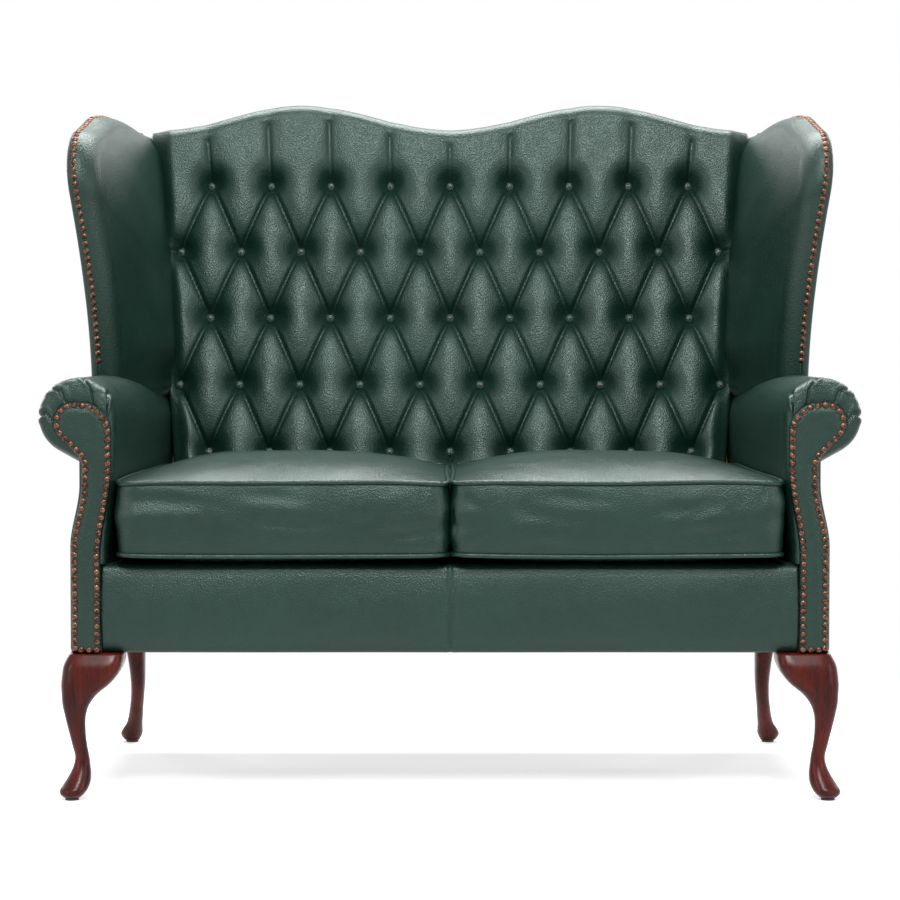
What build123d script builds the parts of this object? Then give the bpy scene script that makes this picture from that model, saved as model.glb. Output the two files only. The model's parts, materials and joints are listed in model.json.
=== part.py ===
from build123d import *

import os
from math import acos, atan2, cos, hypot, pi, radians, sin, sqrt

# Two-seat wing-back sofa: buttoned inside back, scroll arms, wings, cabriole legs.
# Millimetres. +Z is up, -Y is the front, +X is to the viewer's right.
# The origin is on the floor, at the middle of the width and of the depth.
# A depth is measured back from the front face of the arm facings.

# Overall sizes
BASE_WIDTH = 1204.0
LEG_HEIGHT = 233.0
ARM_HEIGHT = 669.0
SEAT_FRAME_DEPTH = 597.0
BACK_RAKE = 13.0

# Layers
GAP = 0.3
COVER = 4.0
OUTSIDE_PANEL = 8.0
WEBBING = 1.5

# Timber frame
RAIL_HEIGHT = 97.0
RAIL_THICKNESS = 26.0
POST_WIDTH = 42.0
POST_THICKNESS = 27.0
STUMP_THICKNESS = 26.0
ARM_RAIL_WIDTH = 32.0
ARM_RAIL_HEIGHT = 44.0
BRACE_WIDTH = 45.0
BRACE_HEIGHT = 60.0
BLOCK_LEG = 105.0
BLOCK_HEIGHT = 57.0
TACK_RAIL_HEIGHT = 50.0
TACK_RAIL_RISE = 95.0
CREST_HEIGHT = 95.0
SLAT_WIDTH = 50.0
WING_BOARD = 20.0
WING_BOARD_BACK = 6.0
WING_POST_WIDTH = 45.0
DOWEL_RADIUS = 5.0
DOWEL_LENGTH = 36.0
SCREW_RADIUS = 2.5
SCREW_LENGTH = 38.0
SCREW_HEAD_RADIUS = 5.0
SCREW_HEAD_HEIGHT = 3.0

# Camel back, measured up the slope from the top of the seat rails
HUMP_RISE = 813.0
DIP_RISE = 768.0
HUMP_OFFSET = 249.0
DIP_OFFSET = 484.0
PAD_FOOT = 48.0
BACK_IN_FOOT = 132.0
BACK_IN_TOP = 67.0
TOP_WRAP = 12.0

# Buttoning
BUTTON_ROWS = 5
BUTTONS_LONG_ROW = 10
BUTTON_PITCH = 106.0
ROW_PITCH = 120.1
LOWEST_ROW = 186.6
BUTTON_RADIUS = 10.5
BUTTON_DOME = 6.5
TWINE_RADIUS = 1.2
FOAM_BACK = 26.0
TUFT_BASE = 18.0
TUFT_HEIGHT = 26.0
PLEAT_GAP = 2.0
BUTTON_ROOM = 14.0
PAD_RIM = 4.0

# Scroll arms
ROLL_RADIUS = 61.5
ROLL_IN = 11.5
ARM_TOP_THICKNESS = 73.0
ARM_FOOT_THICKNESS = 57.0
ARM_BACK_THICKNESS = 36.0
ARM_TOE_IN = 45.0
KNEE_DROP = 67.5
ROLL_REAR_PROUD = 24.0
ROLL_REAR_DROP = 11.0
CREASE_IN = 15.0
CREASE_DROP = 72.5
FACING = 8.0
FACING_WIDTH = 46.5
FACING_IN = 2.5
STUMP_INSET = 8.0
NECK_DRAW = 15.0
NECK_DROP = 35.0
NECK_LENGTH = 100.0
NECK_FADE = 380.0
PANEL_OVERLAP = 60.0

# Wings, heights from the floor
WING_FOOT_DEPTH = 345.0
WING_FRONT_DEPTH = 292.0
WING_TOP = 1104.0
WING_LOBE = 1072.0
WING_FLARE = 37.0
WING_EDGE = 26.0
WING_BULGE = 30.0

# Seat
SPRING_COUNT = 8
SPRING_PERIODS = 12
SPRING_WIRE = 1.8
SPRING_HALF_WIDTH = 24.0
SPRING_RISE = 6.0
CLIP_HEIGHT = 10.0
HESSIAN = 1.5
PLATFORM_PAD = 28.0
PLATFORM_COVER = 3.2
CUSHION_THICKNESS = 131.0
CUSHION_CROWN = 29.0
CUSHION_FRONT = -8.0
CUSHION_REAR = 536.0
CUSHION_SIDE_GAP = 3.0
CUSHION_SPLIT = 6.0
CUSHION_CORNER = 26.0
CUSHION_DRAW = 4.0
ZIP_LENGTH = 400.0
ZIP_WIDTH = 8.0
ZIP_PROUD = 1.5
SLIDER_LENGTH = 12.0
SLIDER_PROUD = 4.0
BORDER_FRONT = 12.0
BORDER_BULGE = 6.0
DUST_COVER = 1.5

# Nails and glides
NAIL_RADIUS = 5.4
NAIL_DOME = 2.6
NAIL_PITCH = 12.4
NAIL_INSET = 6.0
WING_NAIL_IN = 14.0
WING_NAIL_LIFT = 0.8
GLIDE_RADIUS = 11.0
GLIDE_HEIGHT = 3.0
BOLT_RADIUS = 4.0
BOLT_EMBED = 20.0
BOLT_PROUD = 12.0
WASHER_RADIUS = 8.5
WASHER = 1.6
NUT_RADIUS = 7.5
NUT_HEIGHT = 6.5
BOLT_INSET = 64.0
REAR_LEG_FORWARD = 22.0
REAR_LEG_IN = 50.0

# Front leg sections: height, outer face, inner face, both inward from the base corner, corner share
FRONT_LEG = [
    (1.000, -1.0, 84.0, 0.10),
    (0.912, -11.0, 82.0, 0.14),
    (0.845, -13.7, 74.0, 0.20),
    (0.787, -15.0, 62.6, 0.26),
    (0.713, -14.0, 42.0, 0.36),
    (0.649, -12.7, 30.7, 0.42),
    (0.575, -9.2, 24.9, 0.45),
    (0.480, -4.3, 23.7, 0.46),
    (0.368, 1.6, 25.5, 0.47),
    (0.264, 6.0, 29.0, 0.47),
    (0.223, 4.2, 30.0, 0.47),
    (0.155, -2.7, 31.5, 0.48),
    (0.094, -11.2, 30.0, 0.48),
    (0.047, -17.7, 25.0, 0.48),
    (0.022, -15.5, 20.0, 0.48),
    (0.0, -9.0, 14.0, 0.48),
]
# Rear leg sections: height, centre across, centre back, width, length
REAR_LEG = [
    (1.000, 0.0, 0.0, 46.0, 56.0),
    (0.850, -1.0, 6.0, 38.0, 48.0),
    (0.651, -4.0, 16.0, 29.5, 38.0),
    (0.468, -4.5, 30.0, 25.0, 31.0),
    (0.376, -3.0, 38.0, 23.5, 28.0),
    (0.276, 0.0, 50.0, 24.0, 27.0),
    (0.192, 3.0, 62.0, 26.0, 28.0),
    (0.135, 6.0, 71.0, 29.0, 31.0),
    (0.085, 10.0, 79.0, 36.0, 38.0),
    (0.050, 12.0, 82.0, 38.5, 40.0),
    (0.022, 12.0, 82.0, 33.0, 34.0),
    (0.0, 11.0, 81.0, 25.0, 26.0),
]

# Derived sizes
HALF_BASE = BASE_WIDTH / 2
FRAME_HALF = HALF_BASE - OUTSIDE_PANEL - GAP
RAKE_SIN = sin(radians(BACK_RAKE))
RAKE_COS = cos(radians(BACK_RAKE))
RAIL_TOP = LEG_HEIGHT + RAIL_HEIGHT
STUMP_FRONT = FACING + GAP + COVER + GAP
FRONT_RAIL_FRONT = STUMP_FRONT + STUMP_THICKNESS
FRONT_RAIL_BACK = FRONT_RAIL_FRONT + RAIL_THICKNESS
REAR_RAIL_FRONT = SEAT_FRAME_DEPTH
REAR_RAIL_BACK = REAR_RAIL_FRONT + RAIL_THICKNESS
HESSIAN_FOOT = RAIL_TOP + CLIP_HEIGHT + GAP
PAD_BOTTOM = HESSIAN_FOOT + HESSIAN + GAP
DECK_COVER_FOOT = PAD_BOTTOM + PLATFORM_PAD + GAP
DECK = DECK_COVER_FOOT + PLATFORM_COVER
CUSHION_FOOT = DECK + GAP
ROLL_HEIGHT = ARM_HEIGHT - ROLL_RADIUS
ROLL_CENTRE = HALF_BASE - ROLL_IN
ROLL_REAR_OUT = HALF_BASE + ROLL_REAR_PROUD
ARM_WALL_TOP = HALF_BASE - ARM_TOP_THICKNESS
ARM_WALL_FOOT = HALF_BASE - ARM_FOOT_THICKNESS
ARM_WALL_BACK = HALF_BASE - ARM_BACK_THICKNESS
ARM_KNEE = ROLL_HEIGHT - KNEE_DROP
CREASE_OFFSET = HALF_BASE - CREASE_IN
CREASE_HEIGHT = ROLL_HEIGHT - CREASE_DROP
FACING_FOOT_OUT = HALF_BASE - FACING_IN
FACING_FOOT_IN = FACING_FOOT_OUT - FACING_WIDTH
NECK_HIGH = CREASE_HEIGHT - NECK_DROP
NECK_LOW = NECK_HIGH - NECK_LENGTH
BACK_HALF_FOOT = HALF_BASE - BACK_IN_FOOT
BACK_HALF_TOP = HALF_BASE - BACK_IN_TOP
WEB_FRONT = 2 * WEBBING
FOAM_FOOT = WEB_FRONT + GAP
COVER_FOOT = FOAM_FOOT + FOAM_BACK + GAP
TUFT_FOOT = COVER_FOOT + TUFT_BASE
BACK_PANEL_BACK = POST_THICKNESS + GAP + OUTSIDE_PANEL
REAR_MOST = SEAT_FRAME_DEPTH + (HUMP_RISE - TOP_WRAP) * RAKE_SIN + BACK_PANEL_BACK * RAKE_COS
FRONT_MOST = min(row[1] for row in FRONT_LEG)
FRONT_Y = -(REAR_MOST + FRONT_MOST) / 2
ARM_REAR = SEAT_FRAME_DEPTH + 90.0
WING_FOOT = ARM_HEIGHT - 60.0

BACK_PLANE = Plane(
    origin=(0, SEAT_FRAME_DEPTH + FRONT_Y, RAIL_TOP),
    x_dir=(1, 0, 0),
    z_dir=(0, -RAKE_COS, RAKE_SIN),
)

parts = {}


def at(x, depth, z):
    """Point from a width, a depth behind the facings and a height."""
    return Vector(x, depth + FRONT_Y, z)


def block(x0, x1, d0, d1, z0, z1):
    """Box between two widths, two depths and two heights."""
    box = Solid.make_box(x1 - x0, d1 - d0, z1 - z0)
    return box.moved(Location((x0, d0 + FRONT_Y, z0)))


def line(a, b):
    """Straight edge."""
    return Edge.make_line(a, b)


def arc(a, b, c):
    """Arc through three points."""
    return Edge.make_three_point_arc(a, b, c)


def closed(edges):
    """Wire from edges in order."""
    return Wire(edges)


def polygon(points):
    """Face from corner points."""
    return Face(Wire.make_polygon(points))


def prism(face, direction):
    """Solid swept straight from a face."""
    return Solid.extrude(face, Vector(*direction))


def tube(centre, direction, radius, length):
    """Round bar from a start point along a direction."""
    plane = Plane(origin=centre, z_dir=direction)
    return Solid.make_cylinder(radius, length, plane)


def solids(shape):
    """Plain list of the solids in a shape."""
    if isinstance(shape, (list, tuple)):
        return [s for item in shape for s in solids(item)]
    return list(shape.solids())


def cut(shape, *tools):
    """Shape less the tools, as a list of solids."""
    result = shape
    for tool in tools:
        bodies = []
        for solid in solids(result):
            bodies += solids(solid.cut(*solids(tool)))
        result = bodies
    return solids(result)


def common(a, b):
    """Solids shared by two shapes."""
    found = []
    for one in solids(a):
        for two in solids(b):
            shared = one.intersect(two)
            if shared is not None:
                found += solids(shared)
    return found


def fuse(shapes):
    """One body from touching solids."""
    first, *rest = solids(shapes)
    if not rest:
        return [first]
    return solids(first.fuse(*rest))


def mirrored(shape):
    """The same solids on the other side of the middle."""
    return [s.mirror(Plane.YZ) for s in solids(shape)]


def pair(name, shape):
    """Right-hand solids, and their mirror on the left."""
    parts[name + "_right"] = solids(shape)
    parts[name + "_left"] = mirrored(shape)


def both(shape):
    """Solids with their mirror, for one node."""
    return solids(shape) + mirrored(shape)


def on_back(u, v, w):
    """Point from a width, a slope rise and a height off the back frame."""
    return BACK_PLANE.from_local_coords(Vector(u, v, w))


def slope_prism(points, w0, w1):
    """Solid between two heights off the back frame, from corners on the slope."""
    face = polygon([on_back(u, v, w0) for u, v in points])
    return prism(face, BACK_PLANE.z_dir * (w1 - w0))


def slope_solid(edges, w0, w1):
    """Solid between two heights off the back frame, from slope edges."""
    face = Face(closed(edges(w0)))
    return prism(face, BACK_PLANE.z_dir * (w1 - w0))


# Camel outline of the back

def s_edges(a, b):
    """Two equal arcs from a to b, level at both ends, as point triples."""
    (ua, va), (ub, vb) = a, b
    run, rise = ub - ua, vb - va
    radius = (run * run + rise * rise) / (4 * abs(rise))
    turn = 2 * atan2(abs(rise), abs(run))
    half = turn / 2
    sx = 1 if run > 0 else -1
    sy = 1 if rise > 0 else -1
    mid = ((ua + ub) / 2, (va + vb) / 2)
    near = (ua + sx * radius * sin(half), va + sy * radius * (1 - cos(half)))
    far = (ub - sx * radius * sin(half), vb - sy * radius * (1 - cos(half)))
    return [(a, near, mid), (mid, far, b)]


def back_half(v):
    """Half width of the buttoned pad at a slope rise."""
    return BACK_HALF_FOOT + (BACK_HALF_TOP - BACK_HALF_FOOT) * v / DIP_RISE


def camel(foot, drop, half_foot, half_top):
    """Edges of the back outline at one height off the frame."""
    hump = HUMP_RISE - drop
    dip = DIP_RISE - drop
    right = s_edges((half_top if half_top < DIP_OFFSET else DIP_OFFSET, dip), (HUMP_OFFSET, hump))
    right += s_edges((HUMP_OFFSET, hump), (0.0, dip))
    left = [tuple((-u, v) for u, v in reversed(t)) for t in reversed(right)]

    def edges(w):
        lines = [line(on_back(-half_foot, foot, w), on_back(half_foot, foot, w))]
        lines.append(line(on_back(half_foot, foot, w), on_back(half_top, dip, w)))
        if half_top > DIP_OFFSET:
            lines.append(line(on_back(half_top, dip, w), on_back(DIP_OFFSET, dip, w)))
        for triple in right + left:
            lines.append(arc(*[on_back(u, v, w) for u, v in triple]))
        if half_top > DIP_OFFSET:
            lines.append(line(on_back(-DIP_OFFSET, dip, w), on_back(-half_top, dip, w)))
        lines.append(line(on_back(-half_top, dip, w), on_back(-half_foot, foot, w)))
        return lines

    return edges


# Zones that keep neighbours apart

def back_zone(grow):
    """Space of the buttoned pad, for cutting arms and wings."""
    low, high = -150.0, 1000.0
    corners = [
        (-back_half(low) - grow, low),
        (back_half(low) + grow, low),
        (back_half(high) + grow, high),
        (-back_half(high) - grow, high),
    ]
    return slope_prism(corners, -5.0, 260.0)


def behind(w, side=900.0, foot=-400.0):
    """Everything behind a plane that is parallel to the back frame, up to a half width."""
    corners = [(-side, foot), (side, foot), (side, 1100.0), (-side, 1100.0)]
    return slope_prism(corners, w, w - 500.0)


# Arm sections

def facing_edges(inset, depth):
    """Leaf outline of an arm facing, drawn in by an inset."""
    i = inset
    foot_in = FACING_FOOT_IN + i
    foot_out = FACING_FOOT_OUT - i
    neck_in = FACING_FOOT_IN - 18.0 + i
    neck_out = CREASE_OFFSET - 4.5 - i
    foot = LEG_HEIGHT + i
    lobe = ROLL_HEIGHT - 25.0
    p = {
        "a": (foot_in, foot),
        "b": (foot_in, NECK_LOW - 15.0),
        "c": (neck_in, CREASE_HEIGHT - 10.0),
        "d": (neck_in, lobe),
        "e": (ROLL_CENTRE - 5.5, lobe + 49.0 - i),
        "f": (ROLL_CENTRE + 36.5 - i, lobe + 16.0),
        "g": (ROLL_CENTRE + 23.5 - 0.72 * i, lobe - 10.0 + 0.69 * i),
        "h": (CREASE_OFFSET + 1.0 - 0.72 * i, CREASE_HEIGHT + 11.0 + 0.69 * i),
        "j": (neck_out, CREASE_HEIGHT - 15.0),
        "k": (neck_out, NECK_HIGH),
        "l": (foot_out, NECK_LOW),
        "m": (foot_out, foot),
    }

    def q(name):
        return at(p[name][0], depth, p[name][1])

    def s_curve(a, b):
        turned = s_edges((p[a][1], p[a][0]), (p[b][1], p[b][0]))
        return [arc(*[at(x, depth, z) for z, x in t]) for t in turned]

    edges = [line(q("a"), q("b"))]
    edges += s_curve("b", "c")
    edges.append(line(q("c"), q("d")))
    upper = (neck_in + 12.5, lobe + 34.0 - 0.7 * i)
    edges.append(arc(q("d"), at(upper[0], depth, upper[1]), q("e")))
    right = (ROLL_CENTRE + 26.5 - 0.7 * i, lobe + 40.5 - 0.7 * i)
    edges.append(arc(q("e"), at(right[0], depth, right[1]), q("f")))
    lower = (ROLL_CENTRE + 33.5 - i, lobe + 2.0 + 0.3 * i)
    edges.append(arc(q("f"), at(lower[0], depth, lower[1]), q("g")))
    edges.append(line(q("g"), q("h")))
    elbow = (CREASE_OFFSET - 4.2 - i, CREASE_HEIGHT + 0.5 + 0.4 * i)
    edges.append(arc(q("h"), at(elbow[0], depth, elbow[1]), q("j")))
    edges.append(line(q("j"), q("k")))
    edges += s_curve("k", "l")
    edges.append(line(q("l"), q("m")))
    edges.append(line(q("m"), q("a")))
    return edges


def hook(depth, inset, share, over):
    """Arm section: padded wall and roll, at a depth, drawn in by an inset."""
    i = inset
    shift = ARM_TOE_IN * share
    foot = DECK + GAP - over
    wall_top = ARM_WALL_TOP - shift + i
    wall_foot = ARM_WALL_FOOT - shift + i
    outer = ROLL_CENTRE + ROLL_RADIUS + (ROLL_REAR_OUT - ROLL_CENTRE - ROLL_RADIUS) * share - i
    top = ARM_HEIGHT - ROLL_REAR_DROP * share - i
    centre = ROLL_CENTRE - 25.0 * share
    spring = ROLL_HEIGHT - 35.0 * share
    back = ARM_WALL_BACK + over
    radius = ROLL_RADIUS
    gap_x = CREASE_OFFSET - ROLL_CENTRE
    gap_z = CREASE_HEIGHT - ROLL_HEIGHT
    reach = hypot(gap_x, gap_z)
    angle = atan2(gap_z, gap_x) + acos(radius / reach)
    low_x = outer - (radius - i) * (1 - cos(angle))
    low_z = ROLL_HEIGHT + (radius - i) * sin(angle)
    slope_x, slope_z = -sin(angle), cos(angle)
    if slope_x > 0:
        slope_x, slope_z = -slope_x, -slope_z
    run = (back - low_x) / slope_x
    end_z = low_z + run * slope_z
    half = angle / 2
    side_x = outer - (radius - i) * (1 - cos(half))
    side_z = ROLL_HEIGHT + (radius - i) * sin(half)
    k = sqrt(0.5)
    in_x = centre - (centre - wall_top) * k
    in_z = spring + (top - spring) * k
    out_x = centre + (outer - centre) * k
    out_z = ROLL_HEIGHT + (top - ROLL_HEIGHT) * k
    return closed([
        line(at(wall_foot, depth, foot), at(wall_top, depth, ARM_KNEE)),
        line(at(wall_top, depth, ARM_KNEE), at(wall_top, depth, spring)),
        arc(at(wall_top, depth, spring), at(in_x, depth, in_z), at(centre, depth, top)),
        arc(at(centre, depth, top), at(out_x, depth, out_z), at(outer, depth, ROLL_HEIGHT)),
        arc(at(outer, depth, ROLL_HEIGHT), at(side_x, depth, side_z), at(low_x, depth, low_z)),
        line(at(low_x, depth, low_z), at(back, depth, end_z)),
        line(at(back, depth, end_z), at(back, depth, foot)),
        line(at(back, depth, foot), at(wall_foot, depth, foot)),
    ])


ARM_FRONT = FACING + GAP


def share_at(depth):
    """How far back along the arm, from 0 at the front to 1 at the back."""
    return (depth - ARM_FRONT) / (ARM_REAR - ARM_FRONT)


def arm_body(inset, start, over):
    """Solid of the padded arm, drawn in all round by an inset."""
    stations = [(start, 10.0), (start + 5.0, 4.5), (start + 11.0, 1.2), (start + 18.0, 0.0)]
    stations.append((ARM_REAR + over, 0.0))
    wires = [hook(d, inset + i, share_at(d), over) for d, i in stations]
    return Solid.make_loft(wires, ruled=True)


# Wing sections

WING_STRAIGHT = REAR_RAIL_FRONT + 40.0
FLARE_TABLE = [(0.0, 0.0), (0.25, 0.06), (0.52, 0.43), (0.80, 1.0), (1.15, 1.24)]


def wing_outer(depth, share):
    """Half width of the outside of a wing at a depth, by height share."""
    lean = WING_FLARE * share
    run = (WING_STRAIGHT - depth) / (WING_STRAIGHT - WING_FRONT_DEPTH)
    return HALF_BASE + lean * max(0.0, run)


def wing_layer(near, far):
    """Sheet of a wing between two offsets in from its outside."""
    wires = []
    d0, d1 = WING_FRONT_DEPTH - 40.0, SEAT_FRAME_DEPTH + 330.0
    for height, lean in FLARE_TABLE:
        z = WING_FOOT + height * (WING_TOP - WING_FOOT)
        stops = (d0, WING_STRAIGHT, d1)
        corners = [at(wing_outer(d, lean) - near, d, z) for d in stops]
        corners += [at(wing_outer(d, lean) - far, d, z) for d in reversed(stops)]
        wires.append(Wire.make_polygon(corners))
    return Solid.make_loft(wires)


def wing_pad(inset, near):
    """Padded inside of a wing, drawn in from its inner face by an inset."""
    wires = []
    d0 = WING_FRONT_DEPTH - 40.0
    for height, lean in FLARE_TABLE:
        z = WING_FOOT + height * (WING_TOP - WING_FOOT)
        v = (z - RAIL_TOP) / RAKE_COS
        d1 = max(SEAT_FRAME_DEPTH + v * RAKE_SIN, WING_STRAIGHT) + 60.0
        inner_rear = back_half(v) + inset - 8.0
        inner_front = wing_outer(d0, lean) - WING_EDGE + inset + 6.0
        mid_d = d0 + 0.45 * (d1 - d0)
        mid_x = inner_front + 0.45 * (inner_rear - inner_front) - WING_BULGE
        a = at(inner_front, d0, z)
        b = at(mid_x, mid_d, z)
        c = at(inner_rear, d1, z)
        outer_rear = at(wing_outer(d1, lean) - near, d1, z)
        kink = at(wing_outer(WING_STRAIGHT, lean) - near, WING_STRAIGHT, z)
        outer_front = at(wing_outer(d0, lean) - near, d0, z)
        wires.append(closed([
            arc(a, b, c),
            line(c, outer_rear),
            line(outer_rear, kink),
            line(kink, outer_front),
            line(outer_front, a),
        ]))
    return Solid.make_loft(wires)


def wing_side(inset, foot):
    """Side view of a wing as edges, drawn in by an inset."""
    i = inset
    low = (WING_FOOT_DEPTH + i, ARM_HEIGHT + 3.0)
    base = (WING_FOOT_DEPTH + 6.0 + i, foot)
    brow = (WING_FRONT_DEPTH + i, WING_TOP - 144.0)
    lobe = (WING_FRONT_DEPTH + 60.0, WING_LOBE - i)
    rise = (WING_FRONT_DEPTH + 158.0, WING_TOP - 6.0 - i)
    fall = (WING_FRONT_DEPTH + 348.0, WING_TOP - 8.0 - i)
    tail = (SEAT_FRAME_DEPTH + 330.0, WING_TOP - 20.0 - i)
    shin = ((low[0] + brow[0]) / 2 - 5.0, (low[1] + brow[1]) / 2)
    nose = (WING_FRONT_DEPTH + 10.0 + 0.85 * i, WING_LOBE - 36.0 - 0.5 * i)
    sag = (WING_FRONT_DEPTH + 107.0, WING_LOBE + 11.5 - i)
    hump = (WING_FRONT_DEPTH + 238.0, WING_TOP - i)
    end = (SEAT_FRAME_DEPTH + 330.0, foot)

    def edges(x):
        def q(p):
            return at(x, p[0], p[1])
        return [
            line(q(base), q(low)),
            arc(q(low), q(shin), q(brow)),
            arc(q(brow), q(nose), q(lobe)),
            arc(q(lobe), q(sag), q(rise)),
            arc(q(rise), q(hump), q(fall)),
            line(q(fall), q(tail)),
            line(q(tail), q(end)),
            line(q(end), q(base)),
        ]

    return edges


def wing_prism(inset, foot):
    """Everything inside the side view of a wing."""
    face = Face(closed(wing_side(inset, foot)(380.0)))
    return prism(face, (400.0, 0, 0))


# Frame

def dowel(centre, direction):
    """Dowel centred on a joint."""
    start = centre - direction * (DOWEL_LENGTH / 2)
    return tube(start, direction, DOWEL_RADIUS, DOWEL_LENGTH)


def seat_frame():
    """Rails, brace, blocks, dowels and screws of the seat."""
    inner = FRAME_HALF - RAIL_THICKNESS
    y_way = Vector(0, 1, 0)
    x_way = Vector(1, 0, 0)
    dowels = []
    for z in (LEG_HEIGHT + 0.3 * RAIL_HEIGHT, LEG_HEIGHT + 0.78 * RAIL_HEIGHT):
        for joint in (FRONT_RAIL_BACK, REAR_RAIL_FRONT):
            dowels.append(dowel(at(FRAME_HALF - RAIL_THICKNESS / 2, joint, z), y_way))
    stump_x = (FACING_FOOT_IN + FACING_FOOT_OUT) / 2
    for z in (LEG_HEIGHT + 0.22 * RAIL_HEIGHT, LEG_HEIGHT + 0.62 * RAIL_HEIGHT):
        dowels.append(dowel(at(stump_x, FRONT_RAIL_FRONT, z), y_way))
    dowels = both(dowels)
    brace_z = LEG_HEIGHT + BRACE_HEIGHT / 2
    for joint in (FRONT_RAIL_BACK, REAR_RAIL_FRONT):
        dowels.append(dowel(at(0, joint, brace_z), y_way))

    front = block(-FRAME_HALF, FRAME_HALF, FRONT_RAIL_FRONT, FRONT_RAIL_BACK, LEG_HEIGHT, RAIL_TOP)
    rear = block(-FRAME_HALF, FRAME_HALF, REAR_RAIL_FRONT, REAR_RAIL_BACK, LEG_HEIGHT, RAIL_TOP)
    side = block(inner, FRAME_HALF, FRONT_RAIL_BACK, REAR_RAIL_FRONT, LEG_HEIGHT, RAIL_TOP)
    brace = block(-BRACE_WIDTH / 2, BRACE_WIDTH / 2, FRONT_RAIL_BACK, REAR_RAIL_FRONT,
                  LEG_HEIGHT, LEG_HEIGHT + BRACE_HEIGHT)

    blocks = []
    screws = []
    for depth, way in ((FRONT_RAIL_BACK, 1), (REAR_RAIL_FRONT, -1)):
        corners = [
            at(inner, depth, LEG_HEIGHT),
            at(inner - BLOCK_LEG, depth, LEG_HEIGHT),
            at(inner - BLOCK_LEG, depth + way * 18.0, LEG_HEIGHT),
            at(inner - 18.0, depth + way * BLOCK_LEG, LEG_HEIGHT),
            at(inner, depth + way * BLOCK_LEG, LEG_HEIGHT),
        ]
        blocks.append(prism(polygon(corners), (0, 0, BLOCK_HEIGHT)))
        z = LEG_HEIGHT + BLOCK_HEIGHT / 2
        into_rail = at(inner - BLOCK_LEG + 11.0, depth + way * 20.0, z)
        screws += screw(into_rail, Vector(0, -way, 0))
        into_side = at(inner - 20.0, depth + way * (BLOCK_LEG - 11.0), z)
        screws += screw(into_side, x_way)
    blocks = both(blocks)
    screws = both(screws)
    bolts = both(leg_bolts())
    blocks = cut(blocks, screws, both(bolt_rooms()))
    front = cut(front, dowels, screws)
    rear = cut(rear, dowels, screws)
    side = cut(side, dowels, screws)
    brace = cut(brace, dowels)
    parts["front_seat_rail"] = front
    parts["rear_seat_rail"] = rear
    pair("side_seat_rail", side)
    parts["centre_seat_brace"] = brace
    parts["corner_blocks"] = blocks
    parts["block_screws"] = screws
    parts["leg_bolts"] = bolts
    return dowels


def screw(start, direction):
    """Countersunk screw from its head face along its direction."""
    head = tube(start - direction * SCREW_HEAD_HEIGHT, direction, SCREW_HEAD_RADIUS, SCREW_HEAD_HEIGHT)
    shank = tube(start - direction * 1.0, direction, SCREW_RADIUS, SCREW_LENGTH)
    return fuse([head, shank])


def leg_bolts():
    """Right-hand leg bolts with washer and nut."""
    made = []
    for x, depth in bolt_places():
        foot = LEG_HEIGHT - BOLT_EMBED
        top = LEG_HEIGHT + BLOCK_HEIGHT
        shank = tube(at(x, depth, foot), (0, 0, 1), BOLT_RADIUS, top - foot + BOLT_PROUD)
        washer = tube(at(x, depth, top), (0, 0, 1), WASHER_RADIUS, WASHER)
        sides = [(NUT_RADIUS * cos(k * pi / 3), NUT_RADIUS * sin(k * pi / 3)) for k in range(6)]
        nut = polygon([at(x + a, depth + b, top + WASHER) for a, b in sides])
        made += fuse([shank, washer, prism(nut, (0, 0, NUT_HEIGHT))])
    return made


def bolt_rooms():
    """Clearance holes for the right-hand leg bolts."""
    foot = LEG_HEIGHT - BOLT_EMBED - GAP
    top = LEG_HEIGHT + BLOCK_HEIGHT + 1.0
    radius = BOLT_RADIUS + GAP
    return [tube(at(x, depth, foot), (0, 0, 1), radius, top - foot) for x, depth in bolt_places()]


def bolt_places():
    """Width and depth of the right-hand leg bolts."""
    rear_depth = REAR_RAIL_FRONT - REAR_LEG_FORWARD
    return [
        (HALF_BASE - BOLT_INSET, FRONT_RAIL_BACK + 9.0),
        (HALF_BASE - REAR_LEG_IN, rear_depth),
    ]


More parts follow.
